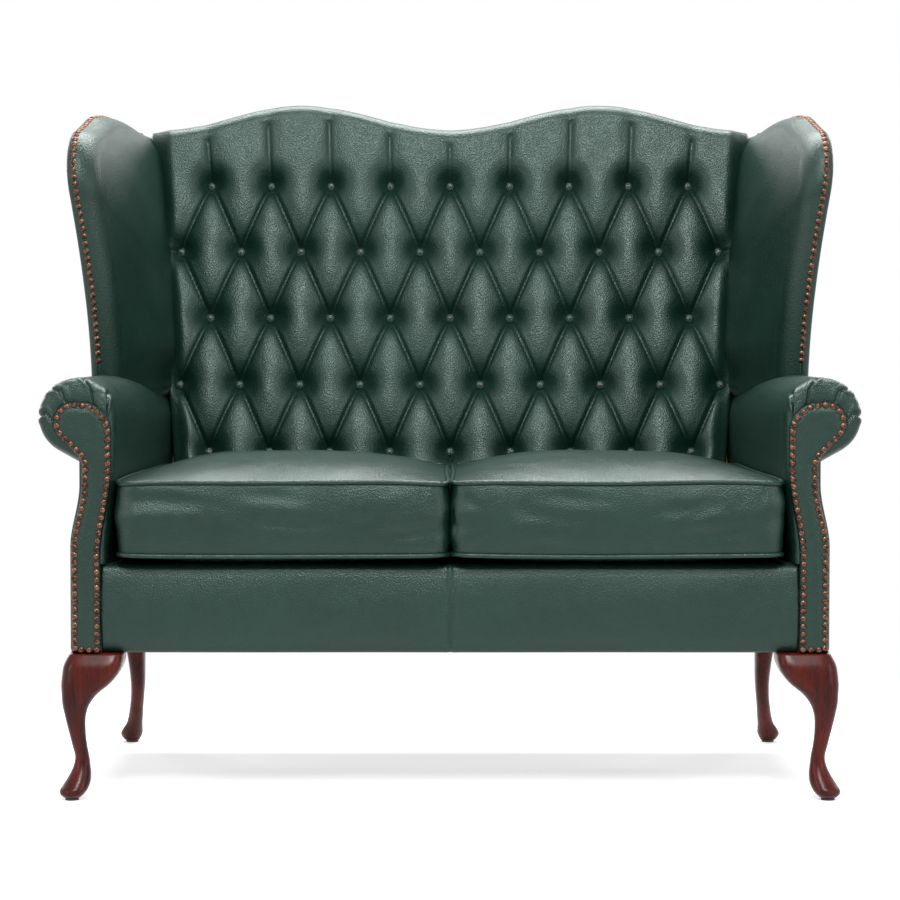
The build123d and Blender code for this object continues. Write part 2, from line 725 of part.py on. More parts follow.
def arm_frame(dowels):
    """Front arm posts, arm rails and wing boards."""
    stump = Face(closed(facing_edges(STUMP_INSET, STUMP_FRONT)))
    stump = solids(prism(stump, (0, STUMP_THICKNESS, 0)))
    foot = block(FACING_FOOT_IN + STUMP_INSET, FRAME_HALF - 2.0, STUMP_FRONT, FRONT_RAIL_FRONT,
                 LEG_HEIGHT, LEG_HEIGHT + STUMP_INSET + 10.0)
    stump = fuse(stump + solids(foot))
    rail_x = ROLL_CENTRE - ARM_RAIL_WIDTH / 2
    rail_z = ROLL_HEIGHT - ARM_RAIL_HEIGHT / 2
    post_front = NECK_FADE + 20.0
    rail = block(rail_x - 3.0, rail_x + ARM_RAIL_WIDTH - 3.0, FRONT_RAIL_FRONT, post_front,
                 rail_z, rail_z + ARM_RAIL_HEIGHT)
    board = common(wing_layer(OUTSIDE_PANEL + GAP, OUTSIDE_PANEL + GAP + WING_BOARD),
                   wing_prism(COVER + WING_BOARD_BACK, ARM_HEIGHT + 3.0))
    board = cut(board, behind(0.0))
    post = block(FRAME_HALF - WING_BOARD + 2.0, FRAME_HALF - 2.0, post_front, post_front + WING_POST_WIDTH,
                 RAIL_TOP, ARM_HEIGHT + 40.0)
    board = fuse(board + solids(post))
    y_way = Vector(0, 1, 0)
    mine = []
    for z in (ROLL_HEIGHT - 11.0, ROLL_HEIGHT + 11.0):
        mine.append(dowel(at(ROLL_CENTRE - 6.0, FRONT_RAIL_FRONT, z), y_way))
        mine.append(dowel(at(ROLL_CENTRE - 6.0, post_front, z), y_way))
    for z in (ARM_HEIGHT + 90.0, ARM_HEIGHT + 310.0):
        rise = (z - RAIL_TOP) / RAKE_COS
        spot = on_back(FRAME_HALF - WING_BOARD / 2, rise, 0.0)
        mine.append(dowel(spot, -BACK_PLANE.z_dir))
    mine.append(dowel(at(FRAME_HALF - WING_BOARD / 2, post_front + WING_POST_WIDTH / 2, RAIL_TOP),
                      Vector(0, 0, 1)))
    mine = both(mine)
    dowels += mine
    pair("arm_stump", cut(stump, dowels))
    parts["arm_rails"] = both(cut(rail, mine))
    pair("wing_board", cut(board, mine))
    return stump, rail, board, mine


def back_frame(dowels, wing_dowels):
    """Raked posts, crest, tacking rail and centre slat."""
    inner = FRAME_HALF - POST_WIDTH
    top = DIP_RISE - TOP_WRAP - GAP
    post_corners = [(inner, 0.0), (FRAME_HALF, 0.0), (FRAME_HALF, top), (inner, top)]
    post = solids(slope_prism(post_corners, -POST_THICKNESS, 0.0))
    floor = block(inner - 50, FRAME_HALF + 50, REAR_RAIL_FRONT - 80, REAR_RAIL_BACK + 80,
                  RAIL_TOP - 80, RAIL_TOP)
    post = cut(post, floor)
    crest_foot = DIP_RISE - TOP_WRAP - CREST_HEIGHT
    crest = solids(slope_solid(camel(crest_foot, TOP_WRAP + GAP, inner, inner), -POST_THICKNESS, 0.0))
    tack_top = TACK_RAIL_RISE + TACK_RAIL_HEIGHT
    tack_corners = [(-inner, TACK_RAIL_RISE), (inner, TACK_RAIL_RISE), (inner, tack_top), (-inner, tack_top)]
    tack = solids(slope_prism(tack_corners, -POST_THICKNESS, 0.0))
    half = SLAT_WIDTH / 2
    slat_corners = [(-half, tack_top), (half, tack_top), (half, crest_foot), (-half, crest_foot)]
    slat = solids(slope_prism(slat_corners, -POST_THICKNESS, 0.0))
    mid = -POST_THICKNESS / 2
    x_way = Vector(1, 0, 0)
    mine = []
    for rise in (crest_foot + 25.0, crest_foot + 70.0, TACK_RAIL_RISE + 13.0, tack_top - 13.0):
        mine.append(dowel(on_back(inner, rise, mid), x_way))
    mine = both(mine)
    for rise in (tack_top, crest_foot):
        mine.append(dowel(on_back(0, rise, mid), BACK_PLANE.y_dir))
    foot_spot = at(FRAME_HALF - POST_WIDTH / 2, REAR_RAIL_FRONT + RAIL_THICKNESS / 2, RAIL_TOP)
    feet = both(dowel(foot_spot, Vector(0, 0, 1)))
    parts["rear_seat_rail"] = cut(parts["rear_seat_rail"], feet)
    for side in ("left", "right"):
        key = "side_seat_rail_" + side
        parts[key] = cut(parts[key], wing_dowels)
    pair("back_post", cut(post, mine, feet, wing_dowels))
    parts["crest_rail"] = cut(crest, mine)
    parts["back_tack_rail"] = cut(tack, mine)
    parts["back_centre_slat"] = cut(slat, mine)
    dowels += mine + feet
    parts["frame_dowels"] = dowels


# Legs

def legs():
    """Cabriole front legs, swept rear legs and their glides."""
    wires = []
    height = LEG_HEIGHT - GLIDE_HEIGHT
    for share, out, inn, corner in FRONT_LEG:
        width = inn - out
        mid = (out + inn) / 2
        z = GLIDE_HEIGHT + share * height
        plane = Plane(origin=at(HALF_BASE - mid, mid, z))
        wires.append((plane * RectangleRounded(width, width, corner * width)).wire())
    front = solids(Solid.make_loft(wires))
    wires = []
    top_depth = REAR_RAIL_FRONT - REAR_LEG_FORWARD + 10.0
    for share, across, back, width, length in REAR_LEG:
        z = GLIDE_HEIGHT + share * height
        corner = min(width, length) * (0.46 - 0.30 * max(0.0, share - 0.5))
        plane = Plane(origin=at(HALF_BASE - REAR_LEG_IN + 4.0 + across, top_depth + back, z))
        wires.append((plane * RectangleRounded(width, length, corner)).wire())
    rear = solids(Solid.make_loft(wires))
    glides = []
    mid = (FRONT_LEG[-1][1] + FRONT_LEG[-1][2]) / 2
    last = REAR_LEG[-1]
    spots = [
        (HALF_BASE - mid, mid),
        (HALF_BASE - REAR_LEG_IN + 4.0 + last[1], top_depth + last[2]),
    ]
    for x, depth in spots:
        disc = tube(at(x, depth, 0), (0, 0, 1), GLIDE_RADIUS, GLIDE_HEIGHT)
        spike = tube(at(x, depth, GLIDE_HEIGHT - 1.0), (0, 0, 1), 1.5, 14.0)
        glides += fuse([disc, spike])
    glides = both(glides)
    rooms = both(bolt_rooms())
    pair("front_leg", cut(front, rooms, glides))
    pair("rear_leg", cut(rear, rooms, glides))
    parts["foot_glides"] = glides


# Springing and seat platform

def spring():
    """One zigzag spring, flat, at the middle of the width."""
    start = FRONT_RAIL_FRONT + RAIL_THICKNESS / 2
    length = REAR_RAIL_FRONT + RAIL_THICKNESS / 2 - start
    step = length / (2 * SPRING_PERIODS)
    bend = step / 2
    reach = SPRING_HALF_WIDTH - bend
    z = RAIL_TOP + SPRING_RISE
    edges = []
    for k in range(2 * SPRING_PERIODS):
        side = 1 if k % 2 == 0 else -1
        d = start + k * step
        c = sqrt(0.5) * bend
        first = at(-side * reach, d, z)
        turn = at(side * reach, d, z)
        edges.append(line(first, turn))
        tip = at(side * (reach + bend), d + bend, z)
        edges.append(arc(turn, at(side * (reach + c), d + bend - c, z), tip))
        edges.append(arc(tip, at(side * (reach + c), d + bend + c, z), at(side * reach, d + step, z)))
    end = start + length
    edges.append(line(at(reach, end, z), at(-reach, end, z)))
    path = closed(edges)
    section = Wire.make_circle(SPRING_WIRE, Plane(origin=at(-reach, start, z), z_dir=(1, 0, 0)))
    print("least gap between the runs of a spring", round(step - 2 * SPRING_WIRE, 2))
    return Solid.sweep(section, path), start, end


def seat_platform():
    """Springs, clips, hessian, pad and cover under the cushions."""
    wire, start, end = spring()
    pitch = 2 * (ARM_WALL_FOOT - 80.0) / (SPRING_COUNT - 1)
    springs = []
    clips = []
    z = RAIL_TOP
    for k in range(SPRING_COUNT):
        x = (k - (SPRING_COUNT - 1) / 2) * pitch
        springs.append(wire.moved(Location((x, 0, 0))))
        for depth in (start, end):
            clip = block(x - 9.0, x + 9.0, depth - 7.0, depth + 7.0, z, z + CLIP_HEIGHT)
            bore = tube(at(x - 12.0, depth, z + SPRING_RISE), (1, 0, 0), SPRING_WIRE + 0.2, 24.0)
            clips += cut(clip, bore)
    parts["seat_springs"] = springs
    parts["spring_clips"] = clips
    half = ARM_WALL_FOOT - 4.0
    rear = SEAT_FRAME_DEPTH - 4.0
    taper = ARM_TOE_IN * share_at(rear)
    front = BORDER_FRONT + 58.0

    def sheet(d0, inset, z0, z1):
        front_half = half - inset
        rear_half = front_half - taper
        corners = [(-front_half, d0), (front_half, d0), (rear_half, rear), (-rear_half, rear)]
        return prism(polygon([at(x, d, z0) for x, d in corners]), (0, 0, z1 - z0))

    parts["seat_hessian"] = solids(sheet(FRONT_RAIL_FRONT + 4.0, 6.0, HESSIAN_FOOT, HESSIAN_FOOT + HESSIAN))
    parts["platform_pad"] = solids(sheet(front, 3.0, PAD_BOTTOM, PAD_BOTTOM + PLATFORM_PAD))
    parts["platform_cover"] = solids(sheet(front, 0.0, DECK_COVER_FOOT, DECK))


def front_border():
    """Padded border under the cushions, sewn at the middle, over its foam."""
    half = FACING_FOOT_IN - 1.5
    back = FRONT_RAIL_FRONT + RAIL_THICKNESS + 0.0
    top = DECK - 0.2

    def side_view(i, x, over):
        front = BORDER_FRONT + i
        foot = LEG_HEIGHT - over
        high = top - i
        rear = BORDER_FRONT + 58.0 - GAP + over
        mid = (LEG_HEIGHT + high) / 2
        low = at(x, FRONT_RAIL_FRONT - GAP + over, foot)
        k = 14.0 * (1 - sqrt(0.5))
        bend = 14.0
        return Face(closed([
            line(low, at(x, front, foot)),
            arc(at(x, front, foot), at(x, front - BORDER_BULGE, mid), at(x, front, high - bend)),
            arc(at(x, front, high - bend), at(x, front + k, high - k), at(x, front + bend, high)),
            line(at(x, front + bend, high), at(x, rear, high)),
            line(at(x, rear, high), at(x, rear, HESSIAN_FOOT + HESSIAN + GAP + over)),
            line(at(x, rear, HESSIAN_FOOT + HESSIAN + GAP + over),
                 at(x, FRONT_RAIL_FRONT - GAP + over, HESSIAN_FOOT + HESSIAN + GAP + over)),
            line(at(x, FRONT_RAIL_FRONT - GAP + over, HESSIAN_FOOT + HESSIAN + GAP + over), low),
        ]))

    outer = prism(side_view(0.0, 0.0, 0.0), (half, 0, 0))
    hollow = prism(side_view(COVER, -1.0, 0.9), (half + 2.0, 0, 0))
    cover = biggest(cut(outer, hollow))
    parts["front_border_cover"] = both(cover)
    foam = prism(side_view(COVER + GAP, -half, 0.0), (2 * half, 0, 0))
    stumps = parts["arm_stump_left"] + parts["arm_stump_right"]
    grown = []
    for stump in stumps:
        box = stump.bounding_box()
        grown.append(Solid.make_box(box.size.X + 2, box.size.Y + 2, 140.0).moved(
            Location((box.min.X - 1, box.min.Y - 1, LEG_HEIGHT - 1))))
    parts["front_border_foam"] = cut(foam, [g for g in grown if touches(foam, g)])


def touches(a, b):
    """Whether the boxes of two solids overlap."""
    p, q = a.bounding_box(), b.bounding_box()
    return (p.min.X < q.max.X and q.min.X < p.max.X and p.min.Y < q.max.Y
            and q.min.Y < p.max.Y and p.min.Z < q.max.Z and q.min.Z < p.max.Z)


# Arms and wings

def arms(stump, rail, board):
    """Covers, foams, facings and outside panels of the arms."""
    keep_out = [back_zone(GAP), behind(FOAM_FOOT, FRAME_HALF + GAP), behind(-POST_THICKNESS)]
    outer = arm_body(0.0, ARM_FRONT, 0.0)
    hollow = arm_body(COVER, ARM_FRONT + COVER, 1.0)
    post = block(FRAME_HALF - WING_BOARD - GAP, FRAME_HALF + GAP, NECK_FADE + 20.0 - GAP,
                 NECK_FADE + 20.0 + WING_POST_WIDTH + GAP, RAIL_TOP, ARM_HEIGHT + 1.0)
    stump_room = Face(closed(facing_edges(STUMP_INSET - GAP, STUMP_FRONT - GAP)))
    stump_room = prism(stump_room, (0, STUMP_THICKNESS + 2 * GAP, 0))
    cover = cut(outer, hollow, *keep_out, post, stump_room)
    pair("arm_cover", biggest(cover))
    core = arm_body(COVER + GAP, ARM_FRONT + COVER + GAP, 0.0)
    rail_box = rail.bounding_box()
    rail_room = Solid.make_box(rail_box.size.X + 2 * GAP, rail_box.size.Y + 2 * GAP,
                               rail_box.size.Z + 2 * GAP)
    rail_room = rail_room.moved(Location((rail_box.min.X - GAP, rail_box.min.Y - GAP, rail_box.min.Z - GAP)))
    foam = cut(core, *keep_out, post, rail_room, stump_room)
    parts["arm_foam"] = both(biggest(foam))
    facing = prism(Face(closed(facing_edges(0.0, 0.0))), (0, FACING, 0))
    pair("arm_facing", facing)
    return outer


def biggest(shapes):
    """Largest solid of a cut, without thin offcuts."""
    return [max(solids(shapes), key=lambda s: s.volume)]


def outside_arm():
    """Outside arm panel with its drawn-in neck, fading towards the back."""
    def station(depth, draw):
        high = panel_top()
        n = HALF_BASE - draw
        t = OUTSIDE_PANEL
        zs = (LEG_HEIGHT, NECK_LOW, NECK_HIGH, high)
        if draw < 0.01:
            draw = 0.01
        outer = s_edges((NECK_LOW, HALF_BASE), (NECK_HIGH, HALF_BASE - draw))
        inner = s_edges((NECK_HIGH, HALF_BASE - draw - t), (NECK_LOW, HALF_BASE - t))
        edges = [line(at(HALF_BASE, depth, zs[0]), at(HALF_BASE, depth, zs[1]))]
        edges += [arc(*[at(x, depth, z) for z, x in tri]) for tri in outer]
        edges.append(line(at(HALF_BASE - draw, depth, zs[2]), at(n, depth, high)))
        edges.append(line(at(n, depth, high), at(n - t, depth, high)))
        edges.append(line(at(n - t, depth, high), at(n - t, depth, zs[2])))
        edges += [arc(*[at(x, depth, z) for z, x in tri]) for tri in inner]
        edges.append(line(at(HALF_BASE - t, depth, zs[1]), at(HALF_BASE - t, depth, zs[0])))
        edges.append(line(at(HALF_BASE - t, depth, zs[0]), at(HALF_BASE, depth, zs[0])))
        return closed(edges)

    front = Solid.make_loft([station(FACING + GAP, NECK_DRAW), station(NECK_FADE, 0.5)], ruled=True)
    rear = block(HALF_BASE - OUTSIDE_PANEL, HALF_BASE, NECK_FADE, ARM_REAR + 60.0, LEG_HEIGHT, panel_top())
    whole = solids(front) + solids(rear)
    low = block(HALF_BASE - 60, HALF_BASE + 60, REAR_RAIL_BACK + GAP, ARM_REAR + 100, LEG_HEIGHT - 10, RAIL_TOP)
    return whole, low


def panel_top():
    """Height of the top of the outside arm panel."""
    return CREASE_HEIGHT + PANEL_OVERLAP


def wings(arm_outer):
    """Covers, foams and outside panels of the wings."""
    keep_out = [back_zone(GAP), behind(FOAM_FOOT)]
    arm_room = arm_body(-GAP, ARM_FRONT - GAP, 0.0)
    near = OUTSIDE_PANEL + GAP
    pad = common(wing_pad(0.0, near), wing_prism(0.0, WING_FOOT + 6.0))
    hollow = common(wing_pad(COVER, near - 3.0), wing_prism(COVER, WING_FOOT - 1.0))
    post = block(FRAME_HALF - WING_BOARD - GAP, FRAME_HALF + GAP, NECK_FADE + 20.0 - GAP,
                 NECK_FADE + 20.0 + WING_POST_WIDTH + GAP, RAIL_TOP, ARM_HEIGHT + 41.0)
    cover = cut(pad, hollow, *keep_out, arm_room, post)
    pair("wing_cover", biggest(cover))
    core = common(wing_pad(COVER + GAP, near), wing_prism(COVER + GAP, WING_FOOT + 6.0))
    core = cut(core, wing_layer(-20.0, near + WING_BOARD + GAP))
    foam = cut(core, *keep_out, arm_room, post)
    parts["wing_foam"] = both(biggest(foam))
    panel = common(wing_layer(0.0, OUTSIDE_PANEL), wing_prism(0.0, WING_FOOT + 6.0))
    post_room = block(FRAME_HALF - WING_BOARD, FRAME_HALF + GAP, NECK_FADE, NECK_FADE + 100, 400, 720)
    panel = cut(panel, behind(-POST_THICKNESS), arm_room, post_room)
    pair("outside_wing", biggest(panel))
    whole, low = outside_arm()
    whole = cut(whole, behind(-POST_THICKNESS, foot=0.0), arm_room, low, biggest(panel))
    tall = [s for s in solids(whole) if s.bounding_box().min.Z < LEG_HEIGHT + 1.0]
    wide = fuse(tall)
    pair("outside_arm", biggest(wide))


# Buttoned back

def button_places():
    """Rows of button places on the slope, lowest row first."""
    rows = []
    for row in range(BUTTON_ROWS):
        count = BUTTONS_LONG_ROW - (row + 1) % 2
        rise = LOWEST_ROW + row * ROW_PITCH
        rows.append([((k - (count - 1) / 2) * BUTTON_PITCH, rise) for k in range(count)])
    return rows


def inset_corners(points, distance):
    """Corners of a polygon drawn in by a distance."""
    count = len(points)
    moved = []
    for k in range(count):
        a, b, c = points[k - 1], points[k], points[(k + 1) % count]
        n1 = unit_normal(a, b)
        n2 = unit_normal(b, c)
        scale = distance / (1 + n1[0] * n2[0] + n1[1] * n2[1])
        moved.append((b[0] + (n1[0] + n2[0]) * scale, b[1] + (n1[1] + n2[1]) * scale))
    return moved


def unit_normal(a, b):
    """Inward normal of an edge of an anticlockwise polygon."""
    dx, dy = b[0] - a[0], b[1] - a[1]
    size = hypot(dx, dy)
    return (-dy / size, dx / size)


def clipped(points, buttons):
    """Corners that are buttons cut back to leave the button room."""
    out = []
    count = len(points)
    for k in range(count):
        a, b, c = points[k - 1], points[k], points[(k + 1) % count]
        if not any(hypot(b[0] - p[0], b[1] - p[1]) < 0.5 for p in buttons):
            out.append(b)
            continue
        d1 = hypot(a[0] - b[0], a[1] - b[1])
        d2 = hypot(c[0] - b[0], c[1] - b[1])
        e1 = ((a[0] - b[0]) / d1, (a[1] - b[1]) / d1)
        e2 = ((c[0] - b[0]) / d2, (c[1] - b[1]) / d2)
        half = sqrt(max(0.02, (1 + e1[0] * e2[0] + e1[1] * e2[1]) / 2))
        t = min(BUTTON_ROOM / half, 0.3 * min(d1, d2))
        out.append((b[0] + e1[0] * t, b[1] + e1[1] * t))
        out.append((b[0] + e2[0] * t, b[1] + e2[1] * t))
    return out


def pillow(points, buttons, height):
    """One padded diamond or flute on the back, from its corners on the slope."""
    corners = clipped(points, buttons)
    levels = [(PLEAT_GAP, -2.0), (PLEAT_GAP, 0.0), (6.0, 0.55 * height), (13.0, 0.87 * height), (22.0, height)]
    wires = []
    for inset, rise in levels:
        shape = inset_corners(corners, inset)
        wires.append(Wire.make_polygon([on_back(u, v, TUFT_FOOT + rise) for u, v in shape]))
    return Solid.make_loft(wires, ruled=True)


def side_corners(end, way):
    """Corners of an edge pillow at an outermost button, one where the margin is slim."""
    edge = back_half(end[1]) - PAD_RIM
    if edge - end[0] > 2 * BUTTON_ROOM:
        return [end, (edge, end[1])]
    return [((end[0] + edge) / 2, end[1] + way * BUTTON_ROOM)]


def tuft_shapes(rows):
    """Corner lists of every pillow of the back, anticlockwise."""
    shapes = []
    top_row = rows[-1]
    foot_row = rows[0]
    tall = DIP_RISE - 6.0
    low = PAD_FOOT + 12.0
    for k, row in enumerate(rows):
        for (ua, v), (ub, _) in zip(row, row[1:]):
            mid = (ua + ub) / 2
            if row is top_row:
                shapes.append([(ua, v), (mid, v - ROW_PITCH), (ub, v), (ub, rim_rise(ub)), (ua, rim_rise(ua))])
            elif row is foot_row:
                shapes.append([(ua, v), (ua, low), (ub, low), (ub, v), (mid, v + ROW_PITCH)])
            else:
                shapes.append([(ua, v), (mid, v - ROW_PITCH), (ub, v), (mid, v + ROW_PITCH)])
    edge_shapes = []
    long_rows = [k for k in range(1, BUTTON_ROWS, 2)]
    ends = [rows[k][-1] for k in long_rows]
    short_ends = [rows[k][-1] for k in range(0, BUTTON_ROWS, 2)]
    rim = PAD_RIM
    bottom = [short_ends[0], (short_ends[0][0], low), (back_half(low) - rim, low)]
    edge_shapes.append(bottom + side_corners(ends[0], -1)[::-1])
    for lower, upper, between in zip(ends, ends[1:], short_ends[1:]):
        edge_shapes.append([between] + side_corners(lower, 1) + side_corners(upper, -1)[::-1])
    last = short_ends[-1][0]
    crown = [short_ends[-1]] + side_corners(ends[-1], 1)
    crown += [(back_half(tall) - rim, tall), (DIP_OFFSET, tall), (last, rim_rise(last))]
    edge_shapes.append(crown)
    for shape in edge_shapes:
        shapes.append(shape)
        shapes.append([(-u, v) for u, v in reversed(shape)])
    return shapes


def rim_rise(u):
    """Slope rise of the top of the flutes at a width, just under the camel edge."""
    u = abs(u)
    if u < HUMP_OFFSET:
        share = u / HUMP_OFFSET
    else:
        share = max(0.0, 1 - (u - HUMP_OFFSET) / (DIP_OFFSET - HUMP_OFFSET))
    return DIP_RISE - 6.0 + (HUMP_RISE - DIP_RISE) * (1 - cos(pi * share)) / 2


def back():
    """Webbing, foam, buttoned cover, buttons, twines and outside panel."""
    rows = button_places()
    buttons = [spot for row in rows for spot in row]
    twine_foot = -1.0
    twines = [tube(on_back(u, v, WEB_FRONT), BACK_PLANE.z_dir, TWINE_RADIUS, TUFT_FOOT - WEB_FRONT)
              for u, v in buttons]
    bores = [tube(on_back(u, v, twine_foot), BACK_PLANE.z_dir, TWINE_RADIUS + 0.2, TUFT_FOOT + 5.0)
             for u, v in buttons]
    slab = slope_solid(camel(PAD_FOOT, 0.0, back_half(PAD_FOOT), BACK_HALF_TOP), COVER_FOOT, TUFT_FOOT)
    wrap_half = back_half(DIP_RISE - TOP_WRAP)
    wrap_face = Face(closed(camel(PAD_FOOT, 0.0, wrap_half, wrap_half)(-POST_THICKNESS)))
    wrap = prism(wrap_face, BACK_PLANE.z_dir * (POST_THICKNESS + COVER_FOOT + 1.0))
    under = Face(closed(camel(PAD_FOOT - 20.0, TOP_WRAP, BACK_HALF_TOP + 20.0, BACK_HALF_TOP + 20.0)
                        (-POST_THICKNESS - 5.0)))
    under = prism(under, BACK_PLANE.z_dir * (POST_THICKNESS + COVER_FOOT + 15.0))
    wrap = cut(wrap, under)
    shapes = tuft_shapes(rows)
    wells = [tube(on_back(u, v, TUFT_FOOT), BACK_PLANE.z_dir, BUTTON_RADIUS + GAP, 2 * TUFT_HEIGHT)
             for u, v in buttons]
    pads = [pillow(shape, buttons, TUFT_HEIGHT) for shape in shapes]
    cover = fuse(solids(slab) + wrap + pads)
    cover = cut(cover, bores, wells)
    parts["back_cover"] = biggest(cover)
    foam_drop = TOP_WRAP + GAP
    foam_edges = camel(PAD_FOOT, foam_drop, back_half(PAD_FOOT), back_half(DIP_RISE - foam_drop))
    foam = slope_solid(foam_edges, FOAM_FOOT, FOAM_FOOT + FOAM_BACK)
    parts["back_foam"] = cut(foam, bores)
    domes = []
    bulge = (BUTTON_RADIUS ** 2 + BUTTON_DOME ** 2) / (2 * BUTTON_DOME)
    turn = atan2(BUTTON_DOME, BUTTON_RADIUS)
    side = (bulge * sin(turn), BUTTON_DOME - bulge * (1 - cos(turn)))
    profile = Face(closed([
        line(Vector(0, 0, 0), Vector(BUTTON_RADIUS, 0, 0)),
        line(Vector(BUTTON_RADIUS, 0, 0), Vector(BUTTON_RADIUS, 0, 1.5)),
        arc(Vector(BUTTON_RADIUS, 0, 1.5), Vector(side[0], 0, side[1] + 1.5),
            Vector(0, 0, BUTTON_DOME + 1.5)),
        line(Vector(0, 0, BUTTON_DOME + 1.5), Vector(0, 0, 0)),
    ]))
    dome = Solid.revolve(profile, 360, Axis.Z)
    for u, v in buttons:
        plane = Plane(origin=on_back(u, v, TUFT_FOOT), x_dir=(1, 0, 0), z_dir=BACK_PLANE.z_dir)
        domes.append(dome.moved(Location(plane)))
    parts["tuft_buttons"] = domes
    parts["button_twines"] = twines

    straps = []
    inner = FRAME_HALF - POST_WIDTH
    crest_mid = DIP_RISE - TOP_WRAP - CREST_HEIGHT / 2
    tack_mid = TACK_RAIL_RISE + TACK_RAIL_HEIGHT / 2
    for k in range(5):
        u = (k - 2) * 190.0
        low, high = tack_mid - 20.0, crest_mid + 20.0
        corners = [(u - 25.0, low), (u + 25.0, low), (u + 25.0, high), (u - 25.0, high)]
        straps += solids(slope_prism(corners, 0.0, WEBBING))
    for k in range(5):
        v = tack_mid + 70.0 + k * 105.0
        reach = inner + 15.0
        corners = [(-reach, v - 25), (reach, v - 25), (reach, v + 25), (-reach, v + 25)]
        straps += solids(slope_prism(corners, WEBBING, 2 * WEBBING))
    parts["back_webbing"] = straps

    half = HALF_BASE
    top_drop = TOP_WRAP
    panel_edges = camel(0.0, top_drop, half, half)
    panel = solids(slope_solid(panel_edges, -BACK_PANEL_BACK, -POST_THICKNESS - GAP))
    foot = block(-half, half, REAR_RAIL_BACK + GAP, REAR_RAIL_BACK + GAP + OUTSIDE_PANEL,
                 LEG_HEIGHT, RAIL_TOP - 1.0)
    above = block(-half - 10, half + 10, REAR_RAIL_FRONT - 100, REAR_RAIL_BACK + GAP, LEG_HEIGHT - 50, RAIL_TOP)
    panel = fuse(cut(panel, above) + solids(foot))
    parts["outside_back"] = biggest(panel)


# Cushions

def cushion_wire(z, inset):
    """Plan outline of the right cushion at a height, drawn in by an inset."""
    front = CUSHION_FRONT + inset
    rear = CUSHION_REAR - inset
    inner = CUSHION_SPLIT / 2 + inset

    def outer_at(depth):
        return ARM_WALL_TOP - ARM_TOE_IN * share_at(depth) - CUSHION_SIDE_GAP - inset

    corners = [(inner, front), (outer_at(front), front), (outer_at(rear), rear), (inner, rear)]
    r = max(6.0, CUSHION_CORNER - 0.2 * inset)
    draw = CUSHION_DRAW
    edges = []
    count = 4
    starts, ends, mids = [], [], []
    for k in range(count):
        a, b, c = corners[k - 1], corners[k], corners[(k + 1) % count]
        d1 = hypot(a[0] - b[0], a[1] - b[1])
        d2 = hypot(c[0] - b[0], c[1] - b[1])
        p = (b[0] + (a[0] - b[0]) / d1 * r, b[1] + (a[1] - b[1]) / d1 * r)
        q = (b[0] + (c[0] - b[0]) / d2 * r, b[1] + (c[1] - b[1]) / d2 * r)
        m = (b[0] * 0.42 + (p[0] + q[0]) * 0.29, b[1] * 0.42 + (p[1] + q[1]) * 0.29)
        starts.append(p)
        ends.append(q)
        mids.append(m)
    for k in range(count):
        edges.append(arc(at(*starts[k], z), at(*mids[k], z), at(*ends[k], z)))
        nxt = (k + 1) % count
        n = unit_normal(ends[k], starts[nxt])
        mid = tuple((ends[k][j] + starts[nxt][j]) / 2 + n[j] * draw for j in (0, 1))
        edges.append(arc(at(*ends[k], z), at(*mid, z), at(*starts[nxt], z)))
    return closed(edges)


def cushion_body(wall):
    """Crowned cushion, drawn in by a wall thickness."""
    foot = CUSHION_FOOT + wall
    top = CUSHION_FOOT + CUSHION_THICKNESS - wall
    crown = CUSHION_CROWN
    levels = [
        (foot, 34.0),
        (foot + 5.0, 14.0),
        (foot + 13.0, 2.0),
        (foot + 24.0, 0.0),
        ((foot + top) / 2, -1.5),
        (top - 12.0, 0.0),
        (top, 3.0),
        (top + 0.30 * crown, 14.0),
        (top + 0.60 * crown, 38.0),
        (top + 0.87 * crown, 84.0),
        (top + crown, 150.0),
    ]
    wires = [cushion_wire(z, inset + wall) for z, inset in levels]
    return Solid.make_loft(wires, ruled=True)


def cushions():
    """Seat cushion covers, cores, zips and sliders."""
    outer = cushion_body(0.0)
    hollow = cushion_body(COVER)
    core = cushion_body(COVER + GAP)
    middle = CUSHION_FOOT + CUSHION_THICKNESS / 2
    reach = (ARM_WALL_TOP - ARM_TOE_IN - CUSHION_SPLIT) / 2
    centre = CUSHION_SPLIT / 2 + reach
    rear = CUSHION_REAR - CUSHION_DRAW
    zip_chain = block(centre - ZIP_LENGTH / 2, centre + ZIP_LENGTH / 2, rear + 0.2, CUSHION_REAR + ZIP_PROUD,
                      middle - ZIP_WIDTH / 2, middle + ZIP_WIDTH / 2)
    slot = block(centre - ZIP_LENGTH / 2 - 0.2, centre + ZIP_LENGTH / 2 + 0.2, rear, CUSHION_REAR + 10.0,
                 middle - ZIP_WIDTH / 2 - 0.2, middle + ZIP_WIDTH / 2 + 0.2)
    cover = cut(outer, hollow, slot)
    pair("cushion_cover", cover)
    pair("cushion_core", cut(core, slot))
    pair("cushion_zip", zip_chain)
    start = centre - ZIP_LENGTH / 2 + 1.0
    face = CUSHION_REAR + ZIP_PROUD + 0.3
    slider = block(start, start + SLIDER_LENGTH, face, face + SLIDER_PROUD, middle - 5.0, middle + 5.0)
    pull = block(start + 3.0, start + SLIDER_LENGTH - 3.0, face + SLIDER_PROUD - 1.5, face + SLIDER_PROUD,
                 middle - 26.0, middle - 4.0)
    pair("zip_slider", fuse([slider, pull]))


# Nails and dust cover

